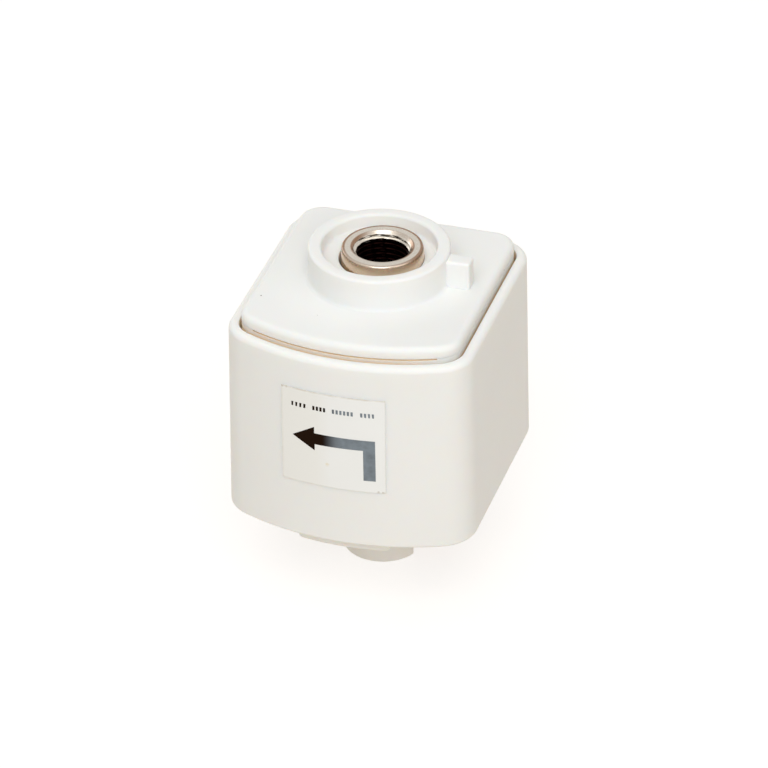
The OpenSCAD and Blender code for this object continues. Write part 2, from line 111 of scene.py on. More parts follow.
def axes(tree, coords):
    """The X, Y and Z of a place, each on its own."""
    return shader_node(tree, "ShaderNodeSeparateXYZ", {"Vector": coords}).outputs


def mix_colours(tree, factor, first, second):
    """Mixes two colours; the sockets are the colour ones of Blender's mix node."""
    made = shader_node(tree, "ShaderNodeMix", {0: factor, 6: first, 7: second}, data_type="RGBA")
    return made.outputs[2]


def bump(tree, shader, height, strength, distance):
    """Feeds a height to the shader's normal."""
    made = shader_node(tree, "ShaderNodeBump",
                       {"Height": height, "Strength": strength, "Distance": MM * distance})
    plug(tree, shader, {"Normal": made.outputs["Normal"]})


def moulded_plastic(name, light, shade, gloss):
    """Satin moulded plastic: a faint clouding of the colour, uneven gloss and fine grain."""
    material, tree, shader, coords = new_material(name)
    colour = mix_colours(tree, noise(tree, coords, CLOUD_SCALE, 3.0), light, shade)
    rough = remap(tree, noise(tree, coords, GLOSS_SCALE, 4.0), *NOISE_SPAN, gloss, gloss + GLOSS_SPREAD)
    plug(tree, shader, {
        "Base Color": colour, "Roughness": rough, "Specular IOR Level": SHEEN, "Subsurface Weight": SOAK,
        "Subsurface Radius": SOAK_REACH, "Subsurface Scale": MM * SOAK_DEPTH})
    bump(tree, shader, noise(tree, coords, GRAIN_SCALE), *GRAIN_BUMP)
    return material


def colour_over(material, colour, *masks):
    """Lays a second colour over a finished material, where every mask is one."""
    tree = material.node_tree
    base = tree.nodes["Principled BSDF"].inputs["Base Color"]
    amount = masks[0]
    for mask in masks[1:]:
        amount = maths(tree, "MULTIPLY", amount, mask)
    tree.links.new(mix_colours(tree, amount, base.links[0].from_socket, colour), base)


def node_box(node):
    """A CAD node's lowest and highest corners, in millimetres."""
    low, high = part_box(node)
    return low / MM, high / MM


def body_plastic(name):
    """The neck's plastic, with painted shade: a darker band along the front, warm in the slot and inside the
    sleeve.
    """
    material = moulded_plastic(name, NECK, NECK_SHADE, SATIN)
    tree = material.node_tree
    parts = axes(tree, shader_node(tree, "ShaderNodeTexCoord").outputs["Object"])
    sleeve_rim = node_box("outer_sleeve")[1].z
    neck_top = node_box("inner_body")[1].z
    along = fade(tree, maths(tree, "ABSOLUTE", parts["X"]), *SLOT_ENDS)
    shaded = fade(tree, parts["X"], *SHADE_ENDS)
    in_front = fade(tree, parts["Y"], *FRONT_ENDS)
    in_slot = fade(tree, parts["Z"], *(neck_top - drop for drop in SLOT_DROP), 0.0, 1.0)
    below_rim = fade(tree, parts["Z"], *(sleeve_rim - drop for drop in SHADOW_DROP))
    deep = fade(tree, parts["Z"], *(sleeve_rim - drop for drop in DEEP_DROP))
    # Painted shade: the darker band along the front, and a warm shade in the slot, below the rim and deep
    # down.
    colour_over(material, NECK_PAINTED_FRONT_SHADE, shaded, in_front)
    colour_over(material, PAINTED_WARM_GAP_SHADE, along, in_front, in_slot)
    colour_over(material, PAINTED_WARM_GAP_SHADE, shaded, in_front, below_rim)
    colour_over(material, PAINTED_WARM_GAP_SHADE, deep)
    return material


def dress(node, material):
    """Gives a CAD node that is shown as it is a finished material."""
    for material_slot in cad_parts[node].material_slots:
        material_slot.material = material


MM = 0.001
CLOUD_SCALE = 60.0
GLOSS_SCALE = 420.0
GRAIN_SCALE = 9000.0
GRAIN_BUMP = (0.06, 0.02)
GLOSS_SPREAD = 0.09
NOISE_SPAN = (0.3, 0.7)
NECK = (0.885, 0.85, 0.79, 1.0)
NECK_SHADE = (0.875, 0.835, 0.77, 1.0)
NECK_PAINTED_FRONT_SHADE = (0.89, 0.765, 0.66, 1.0)
PAINTED_WARM_GAP_SHADE = (0.985, 0.73, 0.49, 1.0)
SLOT_ENDS = (16.0, 16.1)
SHADE_ENDS = (8.0, 16.5)
FRONT_ENDS = (-15.0, -14.0)
SLOT_DROP = (0.27, 0.25)
SHADOW_DROP = (0.3, 0.1)
DEEP_DROP = (0.75, 0.5)
SOAK = 0.5
SOAK_REACH = (1.0, 0.75, 0.55)
SOAK_DEPTH = 1.4
SATIN = 0.48
SHEEN = 0.2

dress("inner_body", body_plastic("body_plastic_painted_gap_shade"))


# Terminals: three brass blocks on the inner body's floor, with a cross hole for the lamp's wire.
# Cut from drawn bar, so their faces carry fine lengthwise lines and their edges are softly broken.

def drawn_metal(name, light, shade, rough, line_scale):
    """Metal drawn or rolled along the part's axis: fine lines along it, and cloudy tarnish."""
    material, tree, shader, coords = new_material(name)
    stretch = (line_scale, line_scale, line_scale / LINE_STRETCH)
    lines = shader_node(tree, "ShaderNodeMapping", {"Vector": coords, "Scale": stretch}).outputs["Vector"]
    fine = noise(tree, lines, 1.0, 3.0)
    colour = mix_colours(tree, noise(tree, coords, TARNISH_SCALE, 3.0), light, shade)
    uneven = remap(tree, fine, *NOISE_SPAN, rough, rough + ROUGH_SPREAD)
    plug(tree, shader, {"Base Color": colour, "Metallic": 1.0, "Roughness": uneven})
    bump(tree, shader, fine, *LINE_BUMP)
    return material


def break_edges(made, width, angle):
    """A small bevel along the edges that are sharper than an angle."""
    bevel = made.modifiers.new("broken_edges", "BEVEL")
    bevel.width = MM * width
    bevel.segments = 2
    bevel.limit_method = "ANGLE"
    bevel.angle_limit = math.radians(angle)


def soften_edges(node, width):
    """Welds a CAD node's loose triangles and breaks its edges."""
    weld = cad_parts[node].modifiers.new("weld", "WELD")
    weld.merge_threshold = MM * WELD_GAP
    break_edges(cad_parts[node], width, CAD_EDGE_ANGLE)


LINE_STRETCH = 60
LINE_BUMP = (0.12, 0.01)
TARNISH_SCALE = 140.0
ROUGH_SPREAD = 0.14
WELD_GAP = 0.002
CAD_EDGE_ANGLE = 40
TERMINAL_EDGE = 0.15
BRASS = (0.78, 0.58, 0.27, 1.0)
BRASS_SHADE = (0.66, 0.46, 0.2, 1.0)

terminal_brass = drawn_metal("terminal_brass", BRASS, BRASS_SHADE, rough=0.24, line_scale=9000.0)
for phase in ("live", "neutral", "earth"):
    dress(phase + "_terminal", terminal_brass)
    soften_edges(phase + "_terminal", TERMINAL_EDGE)


# Contact post: the round post that enters the track, with two locking wings and three contact grooves.
# Moulded in cream plastic; its head is screwed to the underside of the inner body.

def circle_ring(r, z, centre=(0.0, 0.0)):
    """A level ring of points."""
    turns = [2 * math.pi * k / ROUND_POINTS for k in range(ROUND_POINTS)]
    return [(centre[0] + r * math.cos(a), centre[1] + r * math.sin(a), z) for a in turns]


def loft(rings, joined=False):
    """Points and faces of a skin over rings of equally many points, capped or joined into a loop."""
    count = len(rings[0])
    points = [point for ring in rings for point in ring]
    faces = []
    for low in range(len(rings) if joined else len(rings) - 1):
        high = (low + 1) % len(rings)
        for k in range(count):
            after = (k + 1) % count
            faces.append((low * count + k, low * count + after, high * count + after, high * count + k))
    if not joined:
        faces.append(tuple(range(count - 1, -1, -1)))
        faces.append(tuple(range(len(points) - count, len(points))))
    return points, faces


def linked(name, data):
    """A new object in the scene."""
    made = bpy.data.objects.new(name, data)
    bpy.context.scene.collection.objects.link(made)
    return made


def solid(name, points, faces):
    """A closed mesh at its place in the frame, with its faces turned outwards."""
    mesh = bpy.data.meshes.new(name)
    mesh.from_pydata([Vector(point) * MM for point in points], [], faces)
    work = bmesh.new()
    work.from_mesh(mesh)
    bmesh.ops.remove_doubles(work, verts=work.verts, dist=MM * SAME_CORNER)
    bmesh.ops.recalc_face_normals(work, faces=work.faces)
    work.to_mesh(mesh)
    work.free()
    return linked(name, mesh)


def box_solid(name, low, high):
    """A plain box to cut or join with."""
    ring = [(low[0], low[1]), (high[0], low[1]), (high[0], high[1]), (low[0], high[1])]
    return solid(name, *loft([[(x, y, low[2]) for x, y in ring], [(x, y, high[2]) for x, y in ring]]))


def turned(made, degrees):
    """Turns a solid about the part's axis, in its mesh."""
    made.data.transform(Matrix.Rotation(math.radians(degrees), 4, "Z"))
    return made


def plain_mesh(made):
    """Replaces an object's mesh by what its modifiers make of it."""
    shown = made.evaluated_get(bpy.context.evaluated_depsgraph_get())
    made.data = bpy.data.meshes.new_from_object(shown)
    made.modifiers.clear()
    return made


def combine(made, others, operation):
    """Joins other solids to one, or cuts them out of it, and removes them."""
    for other in others:
        step = made.modifiers.new(other.name, "BOOLEAN")
        step.operation = operation
        step.solver = "EXACT"
        step.object = other
    bpy.context.view_layer.update()
    plain_mesh(made)
    for other in others:
        bpy.data.objects.remove(other)
    return made


def finish_piece(made, material, body, nodes):
    """Smooth shading between sharp edges, the material, and what the piece rides on and stands for."""
    made.data.materials.clear()
    made.data.materials.append(material)
    made.data.shade_smooth()
    made.data.set_sharp_from_angle(angle=math.radians(SHARP_ANGLE))
    weighted = made.modifiers.new("flat_faces_flat", "WEIGHTED_NORMAL")
    weighted.keep_sharp = True
    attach(made, body)
    if nodes:
        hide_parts(*nodes)
    return made


def fillet(steps):
    """Sine and cosine at even steps through a quarter turn."""
    quarter = [math.pi / 2 * k / steps for k in range(steps + 1)]
    return [(math.sin(a), math.cos(a)) for a in quarter]


def round_edge(ring, size, z, across, rise, steps):
    """Rings round an edge, from a level face at z to an upright side at a size."""
    return [ring(size + across * (1 - s), z + rise * (1 - c)) for s, c in fillet(steps)]


def wing_ring(r, half_w, z):
    """Outline of the two wings: a circle cut off by two straight sides."""
    corner = math.asin(half_w / r)
    angles = [-corner + 2 * corner * k / WING_STEPS for k in range(WING_STEPS + 1)]
    right = [(r * math.cos(a), r * math.sin(a), z) for a in angles]
    return right + [(-x, -y, z) for x, y, z in right]


SAME_CORNER = 0.0005
SHARP_ANGLE = 35
OVERLAP = 1.0
ROUND_POINTS = 96
WING_STEPS = 16
POST_R = 7.0
POST_ROUND = 0.5
WING_R = 12.0
WING_HALF_W = 5.5
WING_T = 3.0
WING_GAP = 0.6
WING_CHAMFER = 0.8
WING_ROUND = 0.35
GROOVE_IN = 5.7
GROOVE_OUT = 7.5
GROOVE_HALF_W = 2.9
CONTACT_ANGLES = {"live": 180, "neutral": 0, "earth": 90}
POST_CREAM = (0.9, 0.885, 0.86, 1.0)
POST_CREAM_SHADE = (0.885, 0.865, 0.83, 1.0)
POST_GLOSS = 0.34

post_top = node_box("contact_post")[1].z
key_face = node_box("outer_sleeve")[0].z
wing_top = key_face - WING_GAP
wing_low = wing_top - WING_T

post_rings = round_edge(circle_ring, POST_R, 0.0, -POST_ROUND, POST_ROUND, 5)
post_rings.append(circle_ring(POST_R, post_top))
contact_post = solid("post", *loft(post_rings))
wing_rings = [wing_ring(WING_R - WING_ROUND * (1 - s), WING_HALF_W - WING_ROUND * (1 - s),
                        wing_low + WING_ROUND * (1 - c)) for s, c in fillet(4)]
wing_rings.append(wing_ring(WING_R, WING_HALF_W, wing_top - WING_CHAMFER))
wing_rings.append(wing_ring(WING_R - WING_ROUND, WING_HALF_W - WING_CHAMFER, wing_top))
combine(contact_post, [solid("wings", *loft(wing_rings))], "UNION")
grooves = [turned(box_solid("groove", (GROOVE_IN, -GROOVE_HALF_W, -OVERLAP),
                            (GROOVE_OUT, GROOVE_HALF_W, post_top + OVERLAP)), angle)
           for angle in CONTACT_ANGLES.values()]
combine(contact_post, grooves, "DIFFERENCE")
finish_piece(contact_post, moulded_plastic("post_cream_plastic", POST_CREAM, POST_CREAM_SHADE, POST_GLOSS),
             "body", ["contact_post"])


# Leaf contacts: three springy strips that lie in the post's grooves and bulge out to touch the track.
# Stamped and bent from phosphor bronze strip; each is riveted to the inner side of its terminal.

def rounded_path(corners, radius):
    """The corners of a bent path, with each inner one turned into an arc."""
    path = [Vector(corners[0])]
    for before, corner, after in zip(corners, corners[1:], corners[2:]):
        here = Vector(corner)
        to_start = (Vector(before) - here).normalized()
        to_end = (Vector(after) - here).normalized()
        half = to_start.angle(to_end) / 2
        middle = here + (to_start + to_end).normalized() * radius / math.sin(half)
        first = here + to_start * radius / math.tan(half) - middle
        last = here + to_end * radius / math.tan(half) - middle
        for k in range(BEND_STEPS + 1):
            path.append(middle + first.slerp(last, k / BEND_STEPS))
    path.append(Vector(corners[-1]))
    return path


def bent_strip(name, corners, bend_r, thickness, width):
    """A flat strip bent along a path of (distance from the axis, height)."""
    path = rounded_path(corners, bend_r)
    sides = ([], [])
    for k, point in enumerate(path):
        along = (path[min(k + 1, len(path) - 1)] - path[max(k - 1, 0)]).normalized()
        across = Vector((along.y, -along.x)) * thickness / 2
        sides[0].append(point + across)
        sides[1].append(point - across)
    outline = sides[0] + sides[1][::-1]
    rings = [[(p.x, y, p.y) for p in outline] for y in (-width / 2, width / 2)]
    return solid(name, *loft(rings))


LEAF_T = 0.6
LEAF_W = 5.0
LEAF_BEND_R = 0.9
BEND_STEPS = 6
LEAF_FOOT = 3.5
NOSE_HALF = 0.8
LEAF_END_GAP = 0.5
LEAF_EDGE = 0.08
LEAF_EDGE_ANGLE = 50
BRONZE = (0.76, 0.5, 0.28, 1.0)
BRONZE_SHADE = (0.66, 0.42, 0.22, 1.0)

leaf_low, leaf_high = node_box("neutral_contact")
leaf_mid = leaf_low.x + LEAF_T / 2
nose_mid = leaf_high.x - LEAF_T / 2
leaf_shoulder = wing_low - LEAF_END_GAP
nose_z = (LEAF_FOOT + leaf_shoulder) / 2
leaf_corners = [
    (leaf_mid, LEAF_FOOT), (nose_mid, nose_z - NOSE_HALF), (nose_mid, nose_z + NOSE_HALF),
    (leaf_mid, leaf_shoulder), (leaf_mid, leaf_high.z)]
leaf_bronze = drawn_metal("leaf_bronze", BRONZE, BRONZE_SHADE, rough=0.22, line_scale=7000.0)
for phase, angle in CONTACT_ANGLES.items():
    leaf = turned(bent_strip(phase + "_leaf", leaf_corners, LEAF_BEND_R, LEAF_T, LEAF_W), angle)
    break_edges(leaf, LEAF_EDGE, LEAF_EDGE_ANGLE)
    finish_piece(plain_mesh(leaf), leaf_bronze, "body", [phase + "_contact"])


# Screws: slotted screws that hold the post, the wires and the clamp plate.
# Cold headed and thread rolled in zinc plated steel. A node tree sets each kind out on its seats.

def thread_radius(phase, crest, root):
    """Radius of a screw thread where it is this share of a pitch along its turn."""
    slope = abs(2 * (phase % 1.0) - 1)
    return root + (crest - root) * min(max((slope - FLAT_SHARE) / (1 - 2 * FLAT_SHARE), 0.0), 1.0)


def thread_ring(z, pitch, crest, root):
    """A ring of points on a threaded surface."""
    ring = []
    for k in range(ROUND_POINTS):
        a = 2 * math.pi * k / ROUND_POINTS
        r = thread_radius(z / pitch - k / ROUND_POINTS, crest, root)
        ring.append((r * math.cos(a), r * math.sin(a), z))
    return ring


def slotted_screw(name, shank, head, length):
    """A screw that stands head up, with the seat of its head at the origin."""
    root = shank * ROOT_SHARE
    tip = [circle_ring(shank * TIP_SHARE, -length), circle_ring(root, -length + TIP_H)]
    rows = int((length - THREAD_SHORT) / THREAD_PITCH * THREAD_ROWS)
    rises = [THREAD_START + k * THREAD_PITCH / THREAD_ROWS for k in range(rows)]
    shank_rings = [thread_ring(rise - length, THREAD_PITCH, shank, root) for rise in rises]
    neck = [circle_ring(shank * NECK_SHARE, -NECK_H), circle_ring(shank * NECK_SHARE, 0.0)]
    flat = [circle_ring(head - HEAD_BREAK, 0.0), circle_ring(head, HEAD_BREAK)]
    crown = round_edge(circle_ring, head, HEAD_H, -HEAD_ROUND, -HEAD_ROUND, 5)[::-1]
    made = solid(name, *loft(tip + shank_rings + neck + flat + crown))
    slot_box = box_solid("slot", (-head - OVERLAP, -SLOT_W / 2, HEAD_H - SLOT_DEPTH),
                         (head + OVERLAP, SLOT_W / 2, HEAD_H + OVERLAP))
    return combine(made, [slot_box], "DIFFERENCE")


def shape_tree(name, inputs, result):
    """A new geometry node tree with inputs named with their kinds, and the sockets that give them."""
    tree = bpy.data.node_groups.new(name, "GeometryNodeTree")
    for label, kind in inputs.items():
        tree.interface.new_socket(label, in_out="INPUT", socket_type="NodeSocket" + kind)
    tree.interface.new_socket(result, in_out="OUTPUT", socket_type="NodeSocketGeometry")
    return tree, tree.nodes.new("NodeGroupInput").outputs


def coat_and_end(tree, shape, finish):
    """Ends a tree: every copy made real, and one finish on all of it."""
    real = shader_node(tree, "GeometryNodeRealizeInstances", {"Geometry": shape})
    coated = shader_node(tree, "GeometryNodeSetMaterial", {"Geometry": real.outputs[0], "Material": finish})
    shader_node(tree, "NodeGroupOutput", {0: coated.outputs[0]})
    return tree


def screw_tree(name):
    """Sets a screw out on the points of a mesh, each turned by its own amount."""
    tree, given = shape_tree(name, {"Seats": "Geometry", "Screw": "Object", "Head down": "Bool",
                                    "Finish": "Material"}, "Screws")
    shape = shader_node(tree, "GeometryNodeObjectInfo", {"Object": given["Screw"]})
    spin = shader_node(tree, "FunctionNodeRandomValue", {2: 0.0, 3: math.pi, "Seed": SCREW_SEED})
    flip = maths(tree, "MULTIPLY", given["Head down"], math.pi)
    angles = shader_node(tree, "ShaderNodeCombineXYZ", {"X": flip, "Z": spin.outputs[1]})
    rotation = shader_node(tree, "FunctionNodeEulerToRotation", {"Euler": angles.outputs[0]})
    placed = shader_node(tree, "GeometryNodeInstanceOnPoints", {
        "Points": given["Seats"], "Instance": shape.outputs["Geometry"], "Rotation": rotation.outputs[0]})
    return coat_and_end(tree, placed.outputs[0], given["Finish"])


def set_inputs(modifier, values):
    """Sets a node modifier's inputs by their names."""
    for item in modifier.node_group.interface.items_tree:
        if item.in_out == "INPUT" and item.name in values:
            modifier[item.identifier] = values[item.name]


def screw_set(name, node, seats, shank, head, length, head_down=False):
    """One piece of like screws, each standing on its seat (distance from the axis, angle, height)."""
    places = [(r * math.cos(math.radians(a)), r * math.sin(math.radians(a)), z) for r, a, z in seats]
    mesh = bpy.data.meshes.new(name)
    mesh.from_pydata([Vector(place) * MM for place in places], [], [])
    made = linked(name, mesh)
    pattern = slotted_screw(name + "_pattern", shank, head, length)
    setting = made.modifiers.new("screws_on_seats", "NODES")
    setting.node_group = screws_on_seats
    set_inputs(setting, {"Screw": pattern, "Head down": head_down, "Finish": zinc_plate})
    plain_mesh(made)
    bpy.data.objects.remove(pattern)
    return finish_piece(made, zinc_plate, "body", [node])


THREAD_PITCH = 0.7
THREAD_ROWS = 10
THREAD_START = 0.5
THREAD_SHORT = 0.9
FLAT_SHARE = 0.2
TIP_SHARE = 0.5
TIP_H = 0.3
ROOT_SHARE = 0.8
NECK_SHARE = 0.85
NECK_H = 0.2
HEAD_H = 1.4
HEAD_BREAK = 0.1
HEAD_ROUND = 0.6
SLOT_W = 0.6
SLOT_DEPTH = 0.7
SCREW_SEED = 4
ZINC = (0.74, 0.75, 0.77, 1.0)
ZINC_SHADE = (0.64, 0.64, 0.63, 1.0)
POST_SCREW = {"shank": 1.25, "head": 2.2, "length": 7.95}
POST_SCREW_R = 4.35
POST_SCREW_ANGLES = (45, 135, 270)
TERMINAL_SCREW = {"shank": 1.4, "head": 2.1, "length": 3.4}
CLAMP_SCREW = {"shank": 1.1, "head": 2.0, "length": 4.4}
CLAMP_SCREW_R = 12.15
CLAMP_SCREW_ANGLES = (90, 210, 330)

zinc_plate = drawn_metal("zinc_plate", ZINC, ZINC_SHADE, rough=0.26, line_scale=4000.0)
screws_on_seats = screw_tree("screws_on_seats")
terminal_low, terminal_high = node_box("neutral_terminal")
terminal_mid = (terminal_low.x + terminal_high.x) / 2
clamp_low, clamp_high = node_box("clamp_plate")
screw_set("post_screw_set", "post_screws",
          [(POST_SCREW_R, a, terminal_low.z) for a in POST_SCREW_ANGLES], **POST_SCREW)
screw_set("terminal_screw_set", "terminal_screws",
          [(terminal_mid, a, terminal_high.z) for a in CONTACT_ANGLES.values()], **TERMINAL_SCREW)
screw_set("clamp_screw_set", "clamp_screws",
          [(CLAMP_SCREW_R, a, clamp_low.z - (LEAF_T if a == CONTACT_ANGLES["earth"] else 0))
           for a in CLAMP_SCREW_ANGLES], head_down=True, **CLAMP_SCREW)


# Return spring: pushes the sleeve towards the track, between the sleeve's end wall and the inner body.
# Wound from round spring wire, with closed end turns.

def spring_tree(name):
    """A helix whose end turns lie closed and whose other turns are open, swept with round wire."""
    numbers = ("Low", "High", "Coil radius", "Wire", "End pitch", "Turns")
    tree, given = shape_tree(name, {**dict.fromkeys(numbers, "Float"), "Finish": "Material"}, "Spring")
    spiral = shader_node(tree, "GeometryNodeCurveSpiral", {
        "Resolution": SPRING_POINTS, "Rotations": given["Turns"], "Start Radius": given["Coil radius"],
        "End Radius": given["Coil radius"], "Height": 0.0})
    along = shader_node(tree, "GeometryNodeSplineParameter").outputs["Factor"]
    turn = maths(tree, "MULTIPLY", along, given["Turns"])
    last = maths(tree, "SUBTRACT", given["Turns"], 1.0)
    both_ends = maths(tree, "MULTIPLY", given["End pitch"], 2.0)
    whole_height = maths(tree, "SUBTRACT", given["High"], given["Low"])
    open_height = maths(tree, "SUBTRACT", whole_height, both_ends)
    first_turn = remap(tree, turn, 0.0, 1.0, 0.0, given["End pitch"])
    open_turns = remap(tree, turn, 1.0, last, 0.0, open_height)
    last_turn = remap(tree, turn, last, given["Turns"], 0.0, given["End pitch"])
    closed = maths(tree, "ADD", first_turn, last_turn)
    height = maths(tree, "ADD", maths(tree, "ADD", closed, open_turns), given["Low"])
    lift = shader_node(tree, "ShaderNodeCombineXYZ", {"Z": height})
    helix = shader_node(tree, "GeometryNodeSetPosition",
                        {"Geometry": spiral.outputs[0], "Offset": lift.outputs[0]})
    wire_r = maths(tree, "MULTIPLY", given["Wire"], 0.5)
    section = shader_node(tree, "GeometryNodeCurvePrimitiveCircle",
                          {"Resolution": WIRE_POINTS, "Radius": wire_r})
    swept = shader_node(tree, "GeometryNodeCurveToMesh", {
        "Curve": helix.outputs[0], "Profile Curve": section.outputs[0], "Fill Caps": True})
    return coat_and_end(tree, swept.outputs[0], given["Finish"])


SPRING_POINTS = 48
SPRING_TURNS = 4.0
WIRE_POINTS = 14
WIRE_D = 1.0
END_PITCH = 1.06
SPRING_STEEL = (0.5, 0.5, 0.51, 1.0)
SPRING_STEEL_SHADE = (0.38, 0.37, 0.36, 1.0)

spring_low, spring_high = node_box("return_spring")
spring_wire = drawn_metal("spring_wire", SPRING_STEEL, SPRING_STEEL_SHADE, rough=0.3, line_scale=6000.0)
return_spring = linked("coil_spring", bpy.data.meshes.new("coil_spring"))
winding = return_spring.modifiers.new("winding", "NODES")
winding.node_group = spring_tree("sprung_helix")
set_inputs(winding, {
    "Low": MM * (spring_low.z + WIRE_D / 2), "High": MM * (spring_high.z - WIRE_D / 2),
    "Coil radius": MM * (spring_high.x - WIRE_D / 2), "Wire": MM * WIRE_D,
    "End pitch": MM * END_PITCH * WIRE_D, "Turns": SPRING_TURNS, "Finish": spring_wire})
plain_mesh(return_spring)
finish_piece(return_spring, spring_wire, "body", ["return_spring"])
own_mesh(return_spring)


# Outer sleeve: the square gripping sleeve with a bowed front, an open rim and a key tongue for the track.
# Injection moulded in white ABS with a satin finish. It snaps over the inner body's hooks and slides on it.

def bowed_outline(half_w, back, front_r, corner):
    """A rectangle with round corners whose front side is an arc about (0, bow_y)."""
    x = half_w - corner
    lean = math.asin(x / (front_r - corner))
    y = bow_y - (front_r - corner) * math.cos(lean)
    arcs = (((x, back - corner), corner, 0.0, math.pi / 2, CORNER_STEPS),
            ((-x, back - corner), corner, math.pi / 2, math.pi, CORNER_STEPS),
            ((-x, y), corner, math.pi, 1.5 * math.pi - lean, CORNER_STEPS),
            ((0.0, bow_y), front_r, 1.5 * math.pi - lean, 1.5 * math.pi + lean, BOW_STEPS),
            ((x, y), corner, 1.5 * math.pi + lean, 2 * math.pi, CORNER_STEPS))
    outline = []
    before = Vector((half_w, y))
    for centre, r, start, stop, steps in arcs:
        angles = [start + (stop - start) * k / steps for k in range(steps + 1)]
        arc = [Vector((centre[0] + r * math.cos(a), centre[1] + r * math.sin(a))) for a in angles]
        if (arc[0] - before).length > SAME_POINT:
            outline += [before.lerp(arc[0], k / SIDE_STEPS) for k in range(1, SIDE_STEPS)]
            outline.append(arc[0])
        outline += arc[1:]
        before = arc[-1]
    return outline


def sleeve_ring(inset, z):
    """The sleeve's outline at a height, set in from its outside at half its height."""
    outline = bowed_outline(SLEEVE_HALF_W - inset, SLEEVE_BACK - inset, BOW_R - inset, CORNER_R - inset)
    return [(x, y, z) for x, y in outline]


def draft_inset(z):
    """How far the mould draft sets the sleeve's outside in at a height."""
    return SLEEVE_DRAFT * ((z - track_face) / (rim - track_face) - 0.5)


def skin_ring(inset, z):
    """A ring of the sleeve's drafted outside."""
    return sleeve_ring(inset + draft_inset(z), z)


def round_ring(r, z, middle=0.0):
    """A circle with a point for each point of the sleeve's outline, so that the two can be skinned."""
    ring = []
    for x, y, _ in sleeve_ring(0.0, z):
        scale = r / math.hypot(x, y)
        ring.append((middle + x * scale, y * scale, z))
    return ring


def key_ring(inset, z):
    """The key tongue's outline at a height."""
    outline = bowed_outline(KEY_HALF_W - inset, SLEEVE_BACK - KEY_SETBACK - inset,
                            BOW_R - KEY_SETBACK - inset, KEY_CORNER_R - inset)
    return [(x, y, z) for x, y in outline]


def sleeve_plastic(name):
    """The white plastic, with a painted warm, duller shade on the walls of the cavity."""
    material = moulded_plastic(name, WHITE, WHITE_SHADE, SATIN)
    tree = material.node_tree
    parts = axes(tree, shader_node(tree, "ShaderNodeTexCoord").outputs["Object"])
    flat = shader_node(tree, "ShaderNodeCombineXYZ", {"X": parts["X"], "Y": parts["Y"]}).outputs[0]
    across = maths(tree, "ABSOLUTE", parts["X"])
    from_bow = shader_node(tree, "ShaderNodeVectorMath", {0: flat, 1: (0.0, MM * bow_y, 0.0)},
                           operation="DISTANCE").outputs["Value"]
    from_axis = shader_node(tree, "ShaderNodeVectorMath", {0: flat}, operation="LENGTH").outputs["Value"]
    inside = [fade(tree, parts["Z"], end_top - CAVITY_EDGE[1], end_top, 0.0, 1.0)]
    for measure, limit in ((across, SLEEVE_HALF_W - SLEEVE_WALL), (parts["Y"], SLEEVE_BACK - SLEEVE_WALL),
                           (from_bow, BOW_R - SLEEVE_WALL), (from_axis, CAVITY_REACH),
                           (parts["Z"], rim - RIM_WHITE)):
        inside.append(fade(tree, measure, *(limit + beyond for beyond in CAVITY_EDGE)))
    # Painted shade: the cavity walls are painted warmer and duller for the shade in the gap at the rim.
    colour_over(material, CAVITY_PAINTED_SHADE, *inside)
    return material


CORNER_STEPS = 18
BOW_STEPS = 40
SIDE_STEPS = 24
SAME_POINT = 0.01
SLEEVE_HALF_W = 21.5
SLEEVE_BACK = 21.5
SLEEVE_FRONT = 25.5
SLEEVE_DRAFT = 0.5
BOW_R = 44.0
CORNER_R = 6.5
SLEEVE_WALL = 2.0
END_WALL = 2.4
RIM_ROUND = 1.0
RIM_INNER_ROUND = 0.2
FOOT_ROUND = 0.5
CAVITY_ROUND = 0.8
CAVITY_REACH = 26.6
CAVITY_EDGE = (0.05, 0.1)
RIM_WHITE = 0.3
WHITE = (0.875, 0.87, 0.845, 1.0)
WHITE_SHADE = (0.86, 0.85, 0.815, 1.0)
CAVITY_PAINTED_SHADE = (0.93, 0.87, 0.76, 1.0)
HOLD = 0.03
POST_HOLE_R = 7.3
HOLE_BREAK = 0.25
RING_R = 8.3
RING_H = 1.5
KEY_HALF_W = 8.1
KEY_H = 2.6
KEY_SETBACK = 2.3
KEY_CORNER_R = 1.2
KEY_ROUND = 0.4
KEY_CLEAR_R = 8.4
GROOVE_X = 20.3
HOOK_GROOVE_HALF_W = 4.4
HOOK_GROOVE_DROP = (15.0, 7.55)

bow_y = BOW_R - SLEEVE_FRONT
track_face = key_face + KEY_H
end_top = track_face + END_WALL
rim = node_box("outer_sleeve")[1].z

sleeve_rings = [
    round_ring(POST_HOLE_R, track_face + HOLE_BREAK), round_ring(POST_HOLE_R + HOLE_BREAK, track_face),
    skin_ring(FOOT_ROUND + HOLD, track_face),
    *round_edge(skin_ring, 0.0, track_face, FOOT_ROUND, FOOT_ROUND, 5),
    *round_edge(skin_ring, 0.0, rim, RIM_ROUND, -RIM_ROUND, 8)[::-1],
    *round_edge(sleeve_ring, SLEEVE_WALL, rim, -RIM_INNER_ROUND, -RIM_INNER_ROUND, 4),
    *round_edge(sleeve_ring, SLEEVE_WALL, end_top, CAVITY_ROUND, CAVITY_ROUND, 4)[::-1],
    round_ring(RING_R, end_top), round_ring(RING_R, end_top + RING_H - HOLE_BREAK),
    round_ring(RING_R - HOLE_BREAK, end_top + RING_H), round_ring(POST_HOLE_R + HOLE_BREAK, end_top + RING_H),
    round_ring(POST_HOLE_R, end_top + RING_H - HOLE_BREAK)]
outer_sleeve = solid("gripping_sleeve", *loft(sleeve_rings, joined=True))
key_rings = round_edge(key_ring, 0.0, key_face, KEY_ROUND, KEY_ROUND, 4)
key_rings.append(key_ring(0.0, track_face + END_WALL / 2))
key_tongue = solid("key", *loft(key_rings))
combine(key_tongue, [solid("key_hole", *loft([circle_ring(KEY_CLEAR_R, key_face - OVERLAP),
                                              circle_ring(KEY_CLEAR_R, end_top)]))], "DIFFERENCE")
combine(outer_sleeve, [key_tongue], "UNION")
